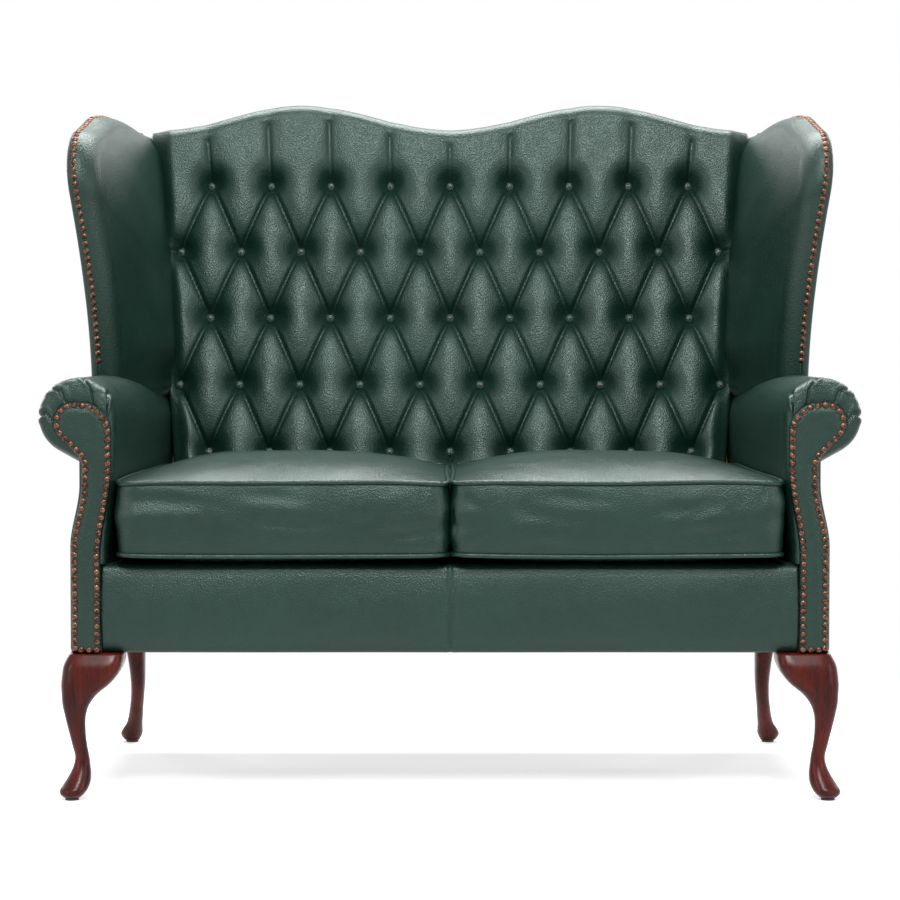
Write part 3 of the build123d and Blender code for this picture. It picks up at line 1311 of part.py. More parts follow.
def nail():
    """Dome nail head on its flat back, axis along +Z."""
    bulge = (NAIL_RADIUS ** 2 + NAIL_DOME ** 2) / (2 * NAIL_DOME)
    turn = atan2(NAIL_DOME, NAIL_RADIUS)
    side = (bulge * sin(turn), NAIL_DOME - bulge * (1 - cos(turn)))
    profile = Face(closed([
        line(Vector(0, 0, 0), Vector(NAIL_RADIUS, 0, 0)),
        arc(Vector(NAIL_RADIUS, 0, 0), Vector(side[0], 0, side[1]), Vector(0, 0, NAIL_DOME)),
        line(Vector(0, 0, NAIL_DOME), Vector(0, 0, 0)),
    ]))
    return Solid.revolve(profile, 360, Axis.Z)


def spaced(wire, pitch, whole):
    """Even share positions along a wire."""
    count = max(2, round(wire.length / pitch))
    steps = count if whole else count + 1
    return [k / count for k in range(steps)]


def nails():
    """Nails round the facings and up the front edges of the wings."""
    head = nail()
    loop = closed(facing_edges(NAIL_INSET, 0.0))
    made = []
    for share in spaced(loop, NAIL_PITCH, True):
        spot = loop.position_at(share)
        made.append(head.moved(Location(Plane(origin=spot, z_dir=(0, -1, 0)))))
    parts["facing_nails"] = both(made)
    side = wing_side(0.0, ARM_HEIGHT + 3.0)(0.0)
    run = closed(side[1:5])
    made = []
    for share in spaced(run, NAIL_PITCH, False):
        spot = run.position_at(share)
        if spot.Z < ARM_HEIGHT + 12.0:
            continue
        ahead = run.tangent_at(share)
        out = Vector(0, -ahead.Z, ahead.Y)
        if out.Y > 0 and out.Z < 0:
            out = out * -1
        depth = spot.Y - FRONT_Y
        height = (spot.Z - WING_FOOT) / (WING_TOP - WING_FOOT)
        x = wing_outer(depth, flare_share(height)) - WING_NAIL_IN
        place = Plane(origin=Vector(x, spot.Y, spot.Z) + out * WING_NAIL_LIFT, z_dir=out)
        made.append(head.moved(Location(place)))
    parts["wing_nails"] = both(made)


def flare_share(height):
    """Flare of a wing by height share, read along its sections."""
    for (h0, f0), (h1, f1) in zip(FLARE_TABLE, FLARE_TABLE[1:]):
        if height <= h1:
            return f0 + (f1 - f0) * (height - h0) / (h1 - h0)
    return FLARE_TABLE[-1][1]


def dust_cover():
    """Cloth under the seat frame, cut round the legs."""
    sheet = block(-FRAME_HALF + 6.0, FRAME_HALF - 6.0, FRONT_RAIL_FRONT + 4.0, REAR_RAIL_BACK - 4.0,
                  LEG_HEIGHT - DUST_COVER, LEG_HEIGHT)
    rooms = []
    for name in ("front_leg_right", "rear_leg_right"):
        top = FRONT_LEG[0] if name.startswith("front") else REAR_LEG[0]
        if name.startswith("front"):
            x0, x1 = HALF_BASE - top[2] - 6.0, HALF_BASE + 20.0
            d0, d1 = -40.0, top[2] + 6.0
        else:
            mid_x = HALF_BASE - REAR_LEG_IN + 4.0
            mid_d = REAR_RAIL_FRONT - REAR_LEG_FORWARD + 10.0
            x0, x1 = mid_x - top[3] / 2 - 4.0, HALF_BASE + 20.0
            d0, d1 = mid_d - top[4] / 2 - 4.0, REAR_RAIL_BACK + 60.0
        rooms.append(block(x0, x1, d0, d1, LEG_HEIGHT - 20.0, LEG_HEIGHT + 20.0))
    parts["dust_cover"] = cut(sheet, both(rooms))


def main():
    """Build every node and write it."""
    dowels = seat_frame()
    stump, rail, board, wing_dowels = arm_frame(dowels)
    back_frame(dowels, wing_dowels)
    legs()
    seat_platform()
    front_border()
    outer = arms(stump, rail, board)
    wings(outer)
    back()
    cushions()
    nails()
    dust_cover()
    os.makedirs("parts", exist_ok=True)
    for name, bodies in sorted(parts.items()):
        shape = bodies[0] if len(bodies) == 1 else Compound(children=bodies)
        export_step(shape, "parts/" + name + ".step")
    print(len(parts), "nodes")


main()
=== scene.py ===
"""Looks of a wing-back buttoned sofa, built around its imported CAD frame."""

import json
import logging
import math
from dataclasses import dataclass
from enum import Enum
from typing import Callable, Iterable, Sequence

import bmesh
import bpy
import numpy as np
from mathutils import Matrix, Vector
from mathutils.kdtree import KDTree


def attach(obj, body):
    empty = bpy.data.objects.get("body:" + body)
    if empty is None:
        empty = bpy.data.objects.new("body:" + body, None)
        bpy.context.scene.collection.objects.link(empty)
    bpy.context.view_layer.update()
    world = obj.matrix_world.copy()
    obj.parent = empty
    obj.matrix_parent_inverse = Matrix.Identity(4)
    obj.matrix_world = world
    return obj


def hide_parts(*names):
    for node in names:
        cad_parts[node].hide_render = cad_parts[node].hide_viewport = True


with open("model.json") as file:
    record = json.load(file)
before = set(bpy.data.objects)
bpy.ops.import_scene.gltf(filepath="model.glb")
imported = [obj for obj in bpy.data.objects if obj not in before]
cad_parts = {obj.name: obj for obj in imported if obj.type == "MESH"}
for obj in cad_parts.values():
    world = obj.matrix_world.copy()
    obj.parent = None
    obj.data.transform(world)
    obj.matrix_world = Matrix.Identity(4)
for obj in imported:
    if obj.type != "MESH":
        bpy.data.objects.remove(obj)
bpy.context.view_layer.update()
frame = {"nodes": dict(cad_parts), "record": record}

LOG = logging.getLogger("sofa")
MM = 0.001
Array = np.ndarray
Surface = Callable[[Array, Array], Array]


class Side(Enum):
    """Which half of the sofa a piece is on, as the sign of X."""

    LEFT = -1
    RIGHT = 1

    @property
    def label(self) -> str:
        """Name used in node names."""
        return self.name.lower()


class Slot(Enum):
    """Material slots of the record."""

    LEATHER = "green_leather"
    MAHOGANY = "mahogany"
    TIMBER = "frame_timber"
    NAIL = "antique_nail"
    STEEL = "steel"
    FOAM = "foam"
    JUTE = "jute"
    LINING = "lining"
    DUST = "dust_cloth"
    ZIP = "zip"
    GLIDE = "glide_plastic"


class Body(Enum):
    """Bodies of the record."""

    FRAME = "frame"
    CUSHION_LEFT = "seat_cushion_left"
    CUSHION_RIGHT = "seat_cushion_right"


@dataclass(frozen=True)
class Plan:
    """Shared sizes of the sofa, in millimetres, depths behind the arm facings."""

    front_y: float = -396.94
    half_base: float = 602.0
    leg_height: float = 233.0
    rail_top: float = 330.0
    frame_depth: float = 597.0
    rake: float = math.radians(13.0)
    arm_height: float = 669.0
    roll_radius: float = 61.5
    roll_centre: float = 590.5
    wall_top: float = 529.0
    wall_foot: float = 545.0
    toe_in: float = 45.0
    deck: float = 373.6
    hump: float = 813.0
    dip: float = 768.0
    hump_offset: float = 249.0
    dip_offset: float = 484.0
    pitch: float = 106.0
    row: float = 120.1
    low_row: float = 186.6
    tuft_foot: float = 47.6
    nail_radius: float = 5.5
    nail_height: float = 3.4
    nail_pitch: float = 12.4

    @property
    def roll_height(self) -> float:
        """Height of the middle of the arm roll."""
        return self.arm_height - self.roll_radius

    def point(self, x: Array, depth: Array, z: Array) -> Array:
        """Points from widths, depths and heights.

        Args:
            x: Widths from the middle.
            depth: Depths behind the facings.
            z: Heights from the floor.

        Returns:
            Points as rows of X, Y and Z.
        """
        x, depth, z = np.broadcast_arrays(x, depth, z)
        return np.stack([x, depth + self.front_y, z], axis=-1).astype(float)

    def slope(self, u: Array, v: Array, w: Array) -> Array:
        """Points from widths, rises up the back slope and heights off the back frame.

        Args:
            u: Widths from the middle.
            v: Rises up the slope from the top of the seat rails.
            w: Heights in front of the back frame.

        Returns:
            Points as rows of X, Y and Z.
        """
        sin, cos = math.sin(self.rake), math.cos(self.rake)
        depth = self.frame_depth + v * sin - w * cos
        return self.point(u, depth, self.rail_top + v * cos + w * sin)

    def back_half(self, v: Array) -> Array:
        """Half width of the buttoned pad at a rise."""
        return 470.0 + 65.0 * v / self.dip

    def camel(self, u: Array) -> Array:
        """Rise of the camel edge of the back at a width.

        Args:
            u: Widths from the middle.

        Returns:
            Rises up the slope.
        """
        u = np.abs(u)
        inner = u / self.hump_offset
        outer = 1 - (u - self.hump_offset) / (self.dip_offset - self.hump_offset)
        share = np.where(u < self.hump_offset, inner, np.clip(outer, 0, 1))
        return self.dip + (self.hump - self.dip) * (1 - np.cos(np.pi * share)) / 2

    def arm_share(self, depth: Array) -> Array:
        """Place along the arm, 0 at its front and 1 at its back."""
        return (depth - 8.3) / (687.0 - 8.3)

    def buttons(self) -> list[tuple[float, float]]:
        """Button places on the slope.

        Returns:
            Width and rise of each button, row by row from the seat up.
        """
        spots = []
        for row in range(5):
            count = 10 - (row + 1) % 2
            rise = self.low_row + row * self.row
            spots += [((k - (count - 1) / 2) * self.pitch, rise) for k in range(count)]
        return spots


PLAN = Plan()


def smooth(x: Array, low: float, high: float) -> Array:
    """Smooth step from 0 at low to 1 at high."""
    t = np.clip((np.asarray(x, float) - low) / (high - low), 0, 1)
    return t * t * (3 - 2 * t)


def bell(x: Array, width: float) -> Array:
    """Bell curve of height 1 and the given half width."""
    return np.exp(-np.square(np.asarray(x, float) / width))


def arc_points(a: Sequence[float], b: Sequence[float], c: Sequence[float], count: int) -> Array:
    """Points along the arc through three points of a plane.

    Args:
        a: First point.
        b: Point on the way.
        c: Last point.
        count: Number of points.

    Returns:
        Points from a to c.
    """
    (ax, ay), (bx, by), (cx, cy) = a, b, c
    d = 2 * (ax * (by - cy) + bx * (cy - ay) + cx * (ay - by))
    sa, sb, sc = ax * ax + ay * ay, bx * bx + by * by, cx * cx + cy * cy
    ux = (sa * (by - cy) + sb * (cy - ay) + sc * (ay - by)) / d
    uy = (sa * (cx - bx) + sb * (ax - cx) + sc * (bx - ax)) / d
    radius = math.hypot(ax - ux, ay - uy)
    start = math.atan2(ay - uy, ax - ux)
    middle = math.atan2(by - uy, bx - ux)
    end = math.atan2(cy - uy, cx - ux)
    turn = (end - start) % (2 * math.pi)
    if (middle - start) % (2 * math.pi) > turn:
        turn -= 2 * math.pi
    angles = start + turn * np.linspace(0, 1, count)
    return np.stack([ux + radius * np.cos(angles), uy + radius * np.sin(angles)], axis=-1)


class Path:
    """Plane curve that is read by its share of length."""

    def __init__(self, points: Array) -> None:
        """Keep the points and their lengths.

        Args:
            points: Points in order.
        """
        keep = [0] + [k for k in range(1, len(points)) if np.hypot(*(points[k] - points[k - 1])) > 1e-6]
        self.points = np.asarray(points, float)[keep]
        steps = np.hypot(*np.diff(self.points, axis=0).T)
        self.lengths = np.concatenate([[0], np.cumsum(steps)])

    @property
    def length(self) -> float:
        """Whole length."""
        return float(self.lengths[-1])

    def at(self, share: Array) -> Array:
        """Points at shares of the length.

        Args:
            share: Shares from 0 to 1.

        Returns:
            Points of the plane.
        """
        along = np.clip(share, 0, 1) * self.length
        first = np.interp(along, self.lengths, self.points[:, 0])
        second = np.interp(along, self.lengths, self.points[:, 1])
        return np.stack([first, second], axis=-1)

    def heading(self, share: Array) -> Array:
        """Unit headings at shares of the length.

        Args:
            share: Shares from 0 to 1.

        Returns:
            Headings.
        """
        step = 2.0 / self.length
        ahead = self.at(np.asarray(share) + step) - self.at(np.asarray(share) - step)
        return ahead / np.maximum(np.linalg.norm(ahead, axis=-1, keepdims=True), 1e-9)


class MeshKit:
    """Makes meshes from grids whose vertices are moved onto a surface."""

    @staticmethod
    def grid(columns: int, rows: int, surface: Surface) -> bmesh.types.BMesh:
        """Grid laid on a surface.

        Args:
            columns: Segments along the first share.
            rows: Segments along the second share.
            surface: Function from two shares to points in millimetres.

        Returns:
            The grid as a bmesh, in metres.
        """
        work = bmesh.new()
        bmesh.ops.create_grid(work, x_segments=columns, y_segments=rows, size=0.5)
        flat = np.array([v.co[:2] for v in work.verts]) + 0.5
        spots = surface(flat[:, 0], flat[:, 1]) * MM
        for vert, spot in zip(work.verts, spots):
            vert.co = spot
        return work

    @staticmethod
    def piece(name: str, grids: Iterable[bmesh.types.BMesh], weld: float = 1e-5,
              heart: Sequence[float] | None = None, wall: float = 2.0) -> bpy.types.Object:
        """One object from several grids, welded where they meet.

        Args:
            name: Object name.
            grids: Grids to join; they are freed.
            weld: Distance in metres under which vertices are merged.
            heart: Point in millimetres behind an open sheet, which then gets a wall;
                None for a closed form.
            wall: Thickness of that wall, in millimetres.

        Returns:
            The object, linked to the scene.
        """
        mesh = bpy.data.meshes.new(name)
        whole = bmesh.new()
        for part in grids:
            scratch = bpy.data.meshes.new("scratch")
            part.to_mesh(scratch)
            part.free()
            whole.from_mesh(scratch)
            bpy.data.meshes.remove(scratch)
        bmesh.ops.remove_doubles(whole, verts=whole.verts, dist=weld)
        bmesh.ops.recalc_face_normals(whole, faces=whole.faces)
        if heart is not None:
            behind = Vector(heart) * MM
            if sum((face.calc_center_median() - behind).dot(face.normal) for face in whole.faces) < 0:
                bmesh.ops.reverse_faces(whole, faces=whole.faces)
        for face in whole.faces:
            face.smooth = True
        whole.to_mesh(mesh)
        whole.free()
        piece = bpy.data.objects.new(name, mesh)
        bpy.context.scene.collection.objects.link(piece)
        if heart is not None:
            sheet = piece.modifiers.new("wall", "SOLIDIFY")
            sheet.thickness = wall * MM
            sheet.offset = -1.0
        return piece

    @staticmethod
    def tube(centres: Array, radius: float, sides: int, closed: bool) -> bmesh.types.BMesh:
        """Round tube along points in space.

        Args:
            centres: Points of the middle line, in millimetres.
            radius: Radius of the tube.
            sides: Segments round the tube.
            closed: Whether the line ends where it starts.

        Returns:
            The tube as a bmesh.
        """
        count = len(centres)
        if closed:
            ahead = np.roll(centres, -1, axis=0) - np.roll(centres, 1, axis=0)
        else:
            ahead = np.gradient(centres, axis=0)
        ahead /= np.linalg.norm(ahead, axis=1, keepdims=True)
        up = np.tile([0.0, 0.0, 1.0], (count, 1))
        out = np.cross(ahead, up)
        out /= np.maximum(np.linalg.norm(out, axis=1, keepdims=True), 1e-9)
        over = np.cross(out, ahead)
        segments = count if closed else count - 1

        def surface(s: Array, t: Array) -> Array:
            """Points of the tube.

            Args:
                s: Shares along the line.
                t: Shares round the tube.

            Returns:
                Points in millimetres.
            """
            index = np.rint(s * segments).astype(int) % count
            turn = 2 * np.pi * t[:, None]
            return centres[index] + radius * (np.cos(turn) * out[index] + np.sin(turn) * over[index])

        return MeshKit.grid(segments, sides, surface)

    @staticmethod
    def dome(centre: Array, axis: Array, radius: float, height: float,
             rings: int, sides: int) -> bmesh.types.BMesh:
        """Dome on a flat seat.

        Args:
            centre: Middle of the seat, in millimetres.
            axis: Way the dome points.
            radius: Radius of the seat.
            height: Height of the dome.
            rings: Segments up the dome.
            sides: Segments round it.

        Returns:
            The dome as a bmesh.
        """
        axis = np.asarray(axis, float) / np.linalg.norm(axis)
        helper = np.array([1.0, 0.0, 0.0]) if abs(axis[0]) < 0.9 else np.array([0.0, 1.0, 0.0])
        first = np.cross(axis, helper)
        first /= np.linalg.norm(first)
        second = np.cross(axis, first)

        def surface(s: Array, t: Array) -> Array:
            """Points of the dome.

            Args:
                s: Shares round the dome.
                t: Shares from the seat to the pole.

            Returns:
                Points in millimetres.
            """
            rise = t[:, None] * np.pi / 2
            turn = 2 * np.pi * s[:, None]
            round_way = np.cos(turn) * first + np.sin(turn) * second
            return centre + radius * np.cos(rise) * round_way + height * np.sin(rise) * axis

        return MeshKit.grid(sides, rings, surface)


class Sock:
    """Shader value that can be added, multiplied and so on."""

    def __init__(self, nodes: "Nodes", socket: bpy.types.NodeSocket) -> None:
        """Keep the nodes and the socket.

        Args:
            nodes: Nodes that the value belongs to.
            socket: Output socket.
        """
        self.nodes = nodes
        self.socket = socket

    def _math(self, operation: str, other: "Sock | float") -> "Sock":
        """Value from a maths node, with this value first."""
        return self.nodes.node("ShaderNodeMath", {0: self, 1: other}, operation=operation)

    def __add__(self, other: "Sock | float") -> "Sock":
        """This value plus another."""
        return self._math("ADD", other)

    def __sub__(self, other: "Sock | float") -> "Sock":
        """This value less another."""
        return self._math("SUBTRACT", other)

    def __mul__(self, other: "Sock | float") -> "Sock":
        """This value times another."""
        return self._math("MULTIPLY", other)

    def __radd__(self, other: float) -> "Sock":
        """A number plus this value."""
        return self._math("ADD", other)

    def __rmul__(self, other: float) -> "Sock":
        """A number times this value."""
        return self._math("MULTIPLY", other)

    def __rsub__(self, other: float) -> "Sock":
        """A number less this value."""
        return self.nodes.node("ShaderNodeMath", {0: other, 1: self}, operation="SUBTRACT")

    def sine(self) -> "Sock":
        """Sine of the value."""
        return self._math("SINE", 0.0)

    def ramp(self, low: float, high: float, start: float = 0.0, end: float = 1.0) -> "Sock":
        """Value mapped from one range to another and held at its ends."""
        values = {0: self, 1: low, 2: high, 3: start, 4: end}
        return self.nodes.node("ShaderNodeMapRange", values, clamp=True)


class Nodes:
    """Node tree whose nodes are all made by one method."""

    def __init__(self, tree: bpy.types.NodeTree) -> None:
        """Empty the tree and keep it.

        Args:
            tree: Node tree.
        """
        self.tree = tree
        self.tree.nodes.clear()

    def node(self, kind: str, inputs: dict, output: int | str = 0, **settings: object) -> Sock:
        """Make a node, set it and feed it.

        Args:
            kind: Node type.
            inputs: Input name or number to a value or another node's value.
            output: Output to return.
            settings: Node properties.

        Returns:
            The chosen output.
        """
        made = self.tree.nodes.new(kind)
        for key, value in settings.items():
            setattr(made, key, value)
        for key, value in inputs.items():
            if isinstance(value, Sock):
                self.tree.links.new(value.socket, made.inputs[key])
            else:
                made.inputs[key].default_value = value
        return Sock(self, made.outputs[output])

    def end(self, kind: str, value: Sock) -> None:
        """Make the output node and feed it."""
        self.tree.links.new(value.socket, self.tree.nodes.new(kind).inputs[0])

    def background(self) -> Sock:
        """1 for rays that show the background: camera, glossy and transmission rays."""
        camera = self.node("ShaderNodeLightPath", {}, "Is Camera Ray")
        glossy = self.node("ShaderNodeLightPath", {}, "Is Glossy Ray")
        through = self.node("ShaderNodeLightPath", {}, "Is Transmission Ray")
        return (camera + glossy + through).ramp(0.0, 1.0)


class Shader(Nodes):
    """One material and its nodes."""

    def __init__(self, name: str) -> None:
        """Start an empty material.

        Args:
            name: Material name.
        """
        self.material = bpy.data.materials.new(name)
        self.material.use_nodes = True
        super().__init__(self.material.node_tree)
        self.shade = self.tree.nodes.new("ShaderNodeBsdfPrincipled")
        self.end("ShaderNodeOutputMaterial", Sock(self, self.shade.outputs["BSDF"]))
        self.place = self.node("ShaderNodeTexCoord", {}, "Object")

    def feed(self, name: str, value: Sock) -> None:
        """Feed an input of the surface shader."""
        self.tree.links.new(value.socket, self.shade.inputs[name])

    def fix(self, **values: object) -> None:
        """Set constants on the surface shader, with spaces as underscores."""
        for key, value in values.items():
            self.shade.inputs[key.replace("_", " ")].default_value = value

    def noise(self, scale: float, detail: float = 2.0, rough: float = 0.5,
              stretch: tuple = (1, 1, 1)) -> Sock:
        """Noise on the object's own coordinates.

        Args:
            scale: Scale per metre.
            detail: Octaves.
            rough: Weight of the finer octaves.
            stretch: Scale of each axis.

        Returns:
            Values about 0.5.
        """
        spot = self.node("ShaderNodeMapping", {"Vector": self.place, "Scale": stretch})
        values = {"Vector": spot, "Scale": scale, "Detail": detail, "Roughness": rough}
        return self.node("ShaderNodeTexNoise", values, "Fac")

    def cells(self, scale: float) -> Sock:
        """Distance to the middle of cells of a scale per metre."""
        return self.node("ShaderNodeTexVoronoi", {"Vector": self.place, "Scale": scale}, "Distance")

    def mix(self, share: Sock, low: tuple, high: tuple) -> Sock:
        """Colour between two colours by a share."""
        values = {0: share, 6: (*low, 1.0), 7: (*high, 1.0)}
        return self.node("ShaderNodeMix", values, 2, data_type="RGBA")

    def bump(self, height: Sock, distance: float, strength: float) -> None:
        """Feed the normal from a height."""
        values = {"Height": height, "Distance": distance, "Strength": strength}
        self.feed("Normal", self.node("ShaderNodeBump", values, "Normal"))


@dataclass(frozen=True)
class Leather:
    """Grained hide with a soft shine."""

    deep: tuple = (0.0020, 0.0158, 0.0106)
    worn: tuple = (0.0046, 0.0255, 0.0178)
    rough_low: float = 0.30
    rough_high: float = 0.42
    grain: float = 430.0
    grain_depth: float = 0.0006

    def make(self) -> bpy.types.Material:
        """Build the material.

        Returns:
            The material.
        """
        shader = Shader("leather")
        cloud = shader.noise(5.0, 3.0)
        fine = shader.noise(60.0, 3.0)
        pebble = shader.cells(self.grain)
        speck = shader.noise(420.0, 2.0, 0.7)
        tone = (cloud * 0.45 + fine * 0.25 + speck * 0.3).ramp(0.38, 0.62)
        shader.feed("Base Color", shader.mix(tone, self.deep, self.worn))
        gloss = fine * 0.4 + cloud * 0.25 + speck * 0.35
        shader.feed("Roughness", gloss.ramp(0.34, 0.66, self.rough_low, self.rough_high))
        soft = shader.noise(140.0, 2.0)
        height = pebble.ramp(0.0, 0.75) * 0.8 + soft * 0.4 + shader.noise(1500.0, 1.0) * 0.25
        shader.bump(height, self.grain_depth, 0.75)
        shader.fix(Specular_IOR_Level=0.62, Specular_Tint=(0.74, 0.92, 0.86, 1.0))
        return shader.material


@dataclass(frozen=True)
class Timber:
    """Wood with a grain along one axis."""

    dark: tuple
    light: tuple
    rough: float
    coat: float
    shine: float = 0.5
    along: tuple = (14.0, 14.0, 1.2)

    def make(self) -> bpy.types.Material:
        """Build the material.

        Returns:
            The material.
        """
        shader = Shader("timber")
        broad = shader.noise(3.0, 4.0, 0.6, self.along)
        pores = shader.noise(26.0, 3.0, 0.6, self.along)
        tone = (broad * 0.75 + pores * 0.25).ramp(0.36, 0.66)
        shader.feed("Base Color", shader.mix(tone, self.dark, self.light))
        shader.feed("Roughness", pores.ramp(0.3, 0.7, self.rough - 0.05, self.rough + 0.08))
        shader.bump(pores, 0.0001, 0.25)
        shader.fix(Coat_Weight=self.coat, Coat_Roughness=0.12, Specular_IOR_Level=self.shine)
        return shader.material


@dataclass(frozen=True)
class Metal:
    """Metal with a darker tarnish."""

    bright: tuple
    dull: tuple
    rough: float

    def make(self) -> bpy.types.Material:
        """Build the material.

        Returns:
            The material.
        """
        shader = Shader("metal")
        spots = shader.noise(180.0, 2.0)
        shader.feed("Base Color", shader.mix(spots.ramp(0.35, 0.7), self.dull, self.bright))
        shader.feed("Roughness", spots.ramp(0.3, 0.7, self.rough + 0.15, self.rough))
        shader.fix(Metallic=1.0)
        return shader.material


@dataclass(frozen=True)
class Plain:
    """Even matt finish, with a fine weave or pore."""

    tint: tuple
    rough: float = 0.85
    weave: float = 900.0

    def make(self) -> bpy.types.Material:
        """Build the material.

        Returns:
            The material.
        """
        shader = Shader("plain")
        grain = shader.noise(self.weave, 1.0)
        low = tuple(0.75 * c for c in self.tint)
        shader.feed("Base Color", shader.mix(grain.ramp(0.3, 0.7), low, self.tint))
        shader.bump(grain, 0.0002, 0.4)
        shader.fix(Roughness=self.rough)
        return shader.material


@dataclass(frozen=True)
class Cloth:
    """Plain weave of crossing threads."""

    tint: tuple
    threads: float = 620.0
    rough: float = 0.9

    def make(self) -> bpy.types.Material:
        """Build the material.

        Returns:
            The material.
        """
        shader = Shader("cloth")
        across = shader.node("ShaderNodeSeparateXYZ", {0: shader.place}, "X") * (math.tau * self.threads)
        along = shader.node("ShaderNodeSeparateXYZ", {0: shader.place}, "Y") * (math.tau * self.threads)
        weave = (across.sine() * along.sine()).ramp(-1.0, 1.0)
        tone = weave * 0.5 + shader.noise(45.0, 3.0) * 0.5
        low = tuple(0.55 * c for c in self.tint)
        shader.feed("Base Color", shader.mix(tone.ramp(0.25, 0.75), low, self.tint))
        shader.bump(weave, 0.0003, 0.6)
        shader.fix(Roughness=self.rough, Specular_IOR_Level=0.2)
        return shader.material


class Finishes:
    """All materials, by slot."""

    def __init__(self) -> None:
        """Build each material once."""
        made = {
            Slot.LEATHER: Leather(),
            Slot.MAHOGANY: Timber((0.022, 0.0014, 0.0007), (0.135, 0.0120, 0.0042), 0.30, 0.03, 0.22),
            Slot.TIMBER: Timber((0.38, 0.25, 0.13), (0.62, 0.45, 0.27), 0.6, 0.0),
            Slot.NAIL: Metal((0.23, 0.115, 0.075), (0.055, 0.024, 0.017), 0.30),
            Slot.STEEL: Metal((0.5, 0.5, 0.51), (0.3, 0.3, 0.31), 0.35),
            Slot.FOAM: Plain((0.75, 0.68, 0.46), 0.95, 600.0),
            Slot.JUTE: Cloth((0.42, 0.31, 0.18), 260.0),
            Slot.LINING: Cloth((0.02, 0.05, 0.04)),
            Slot.DUST: Cloth((0.02, 0.02, 0.02), 480.0),
            Slot.ZIP: Plain((0.015, 0.03, 0.025), 0.5),
            Slot.GLIDE: Plain((0.03, 0.025, 0.02), 0.5),
        }
        self.materials = {slot: finish.make() for slot, finish in made.items()}

    def dress(self, piece: bpy.types.Object, slot: Slot) -> None:
        """Give a piece its finish."""
        piece.data.materials.clear()
        piece.data.materials.append(self.materials[slot])


@dataclass
class Piece:
    """Base of every modelled sub-assembly."""

    finishes: Finishes
    plan: Plan = PLAN

    def join(self, obj: bpy.types.Object, body: Body, slot: Slot, nodes: Sequence[str],
             fill: float | None = None) -> None:
        """Tie an object to its body, slot and nodes.

        Args:
            obj: The object.
            body: Body that it rides on.
            slot: Its material slot.
            nodes: CAD nodes that it stands for.
            fill: Not used.
        """
        self.finishes.dress(obj, slot)
        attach(obj, body.value)
        if nodes:
            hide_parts(*nodes)


@dataclass
class SidedPiece(Piece):
    """Base of the sub-assemblies that come in a left and a right."""

    side: Side = Side.RIGHT

    def flip(self, spots: Array) -> Array:
        """Points on this piece's side."""
        spots[:, 0] *= self.side.value
        return spots

    def nail(self, seat: Array, axis: Array) -> bmesh.types.BMesh:
        """Dome-headed nail on its seat."""
        plan = self.plan
        return MeshKit.dome(seat, axis, plan.nail_radius, plan.nail_height, 3, 10)


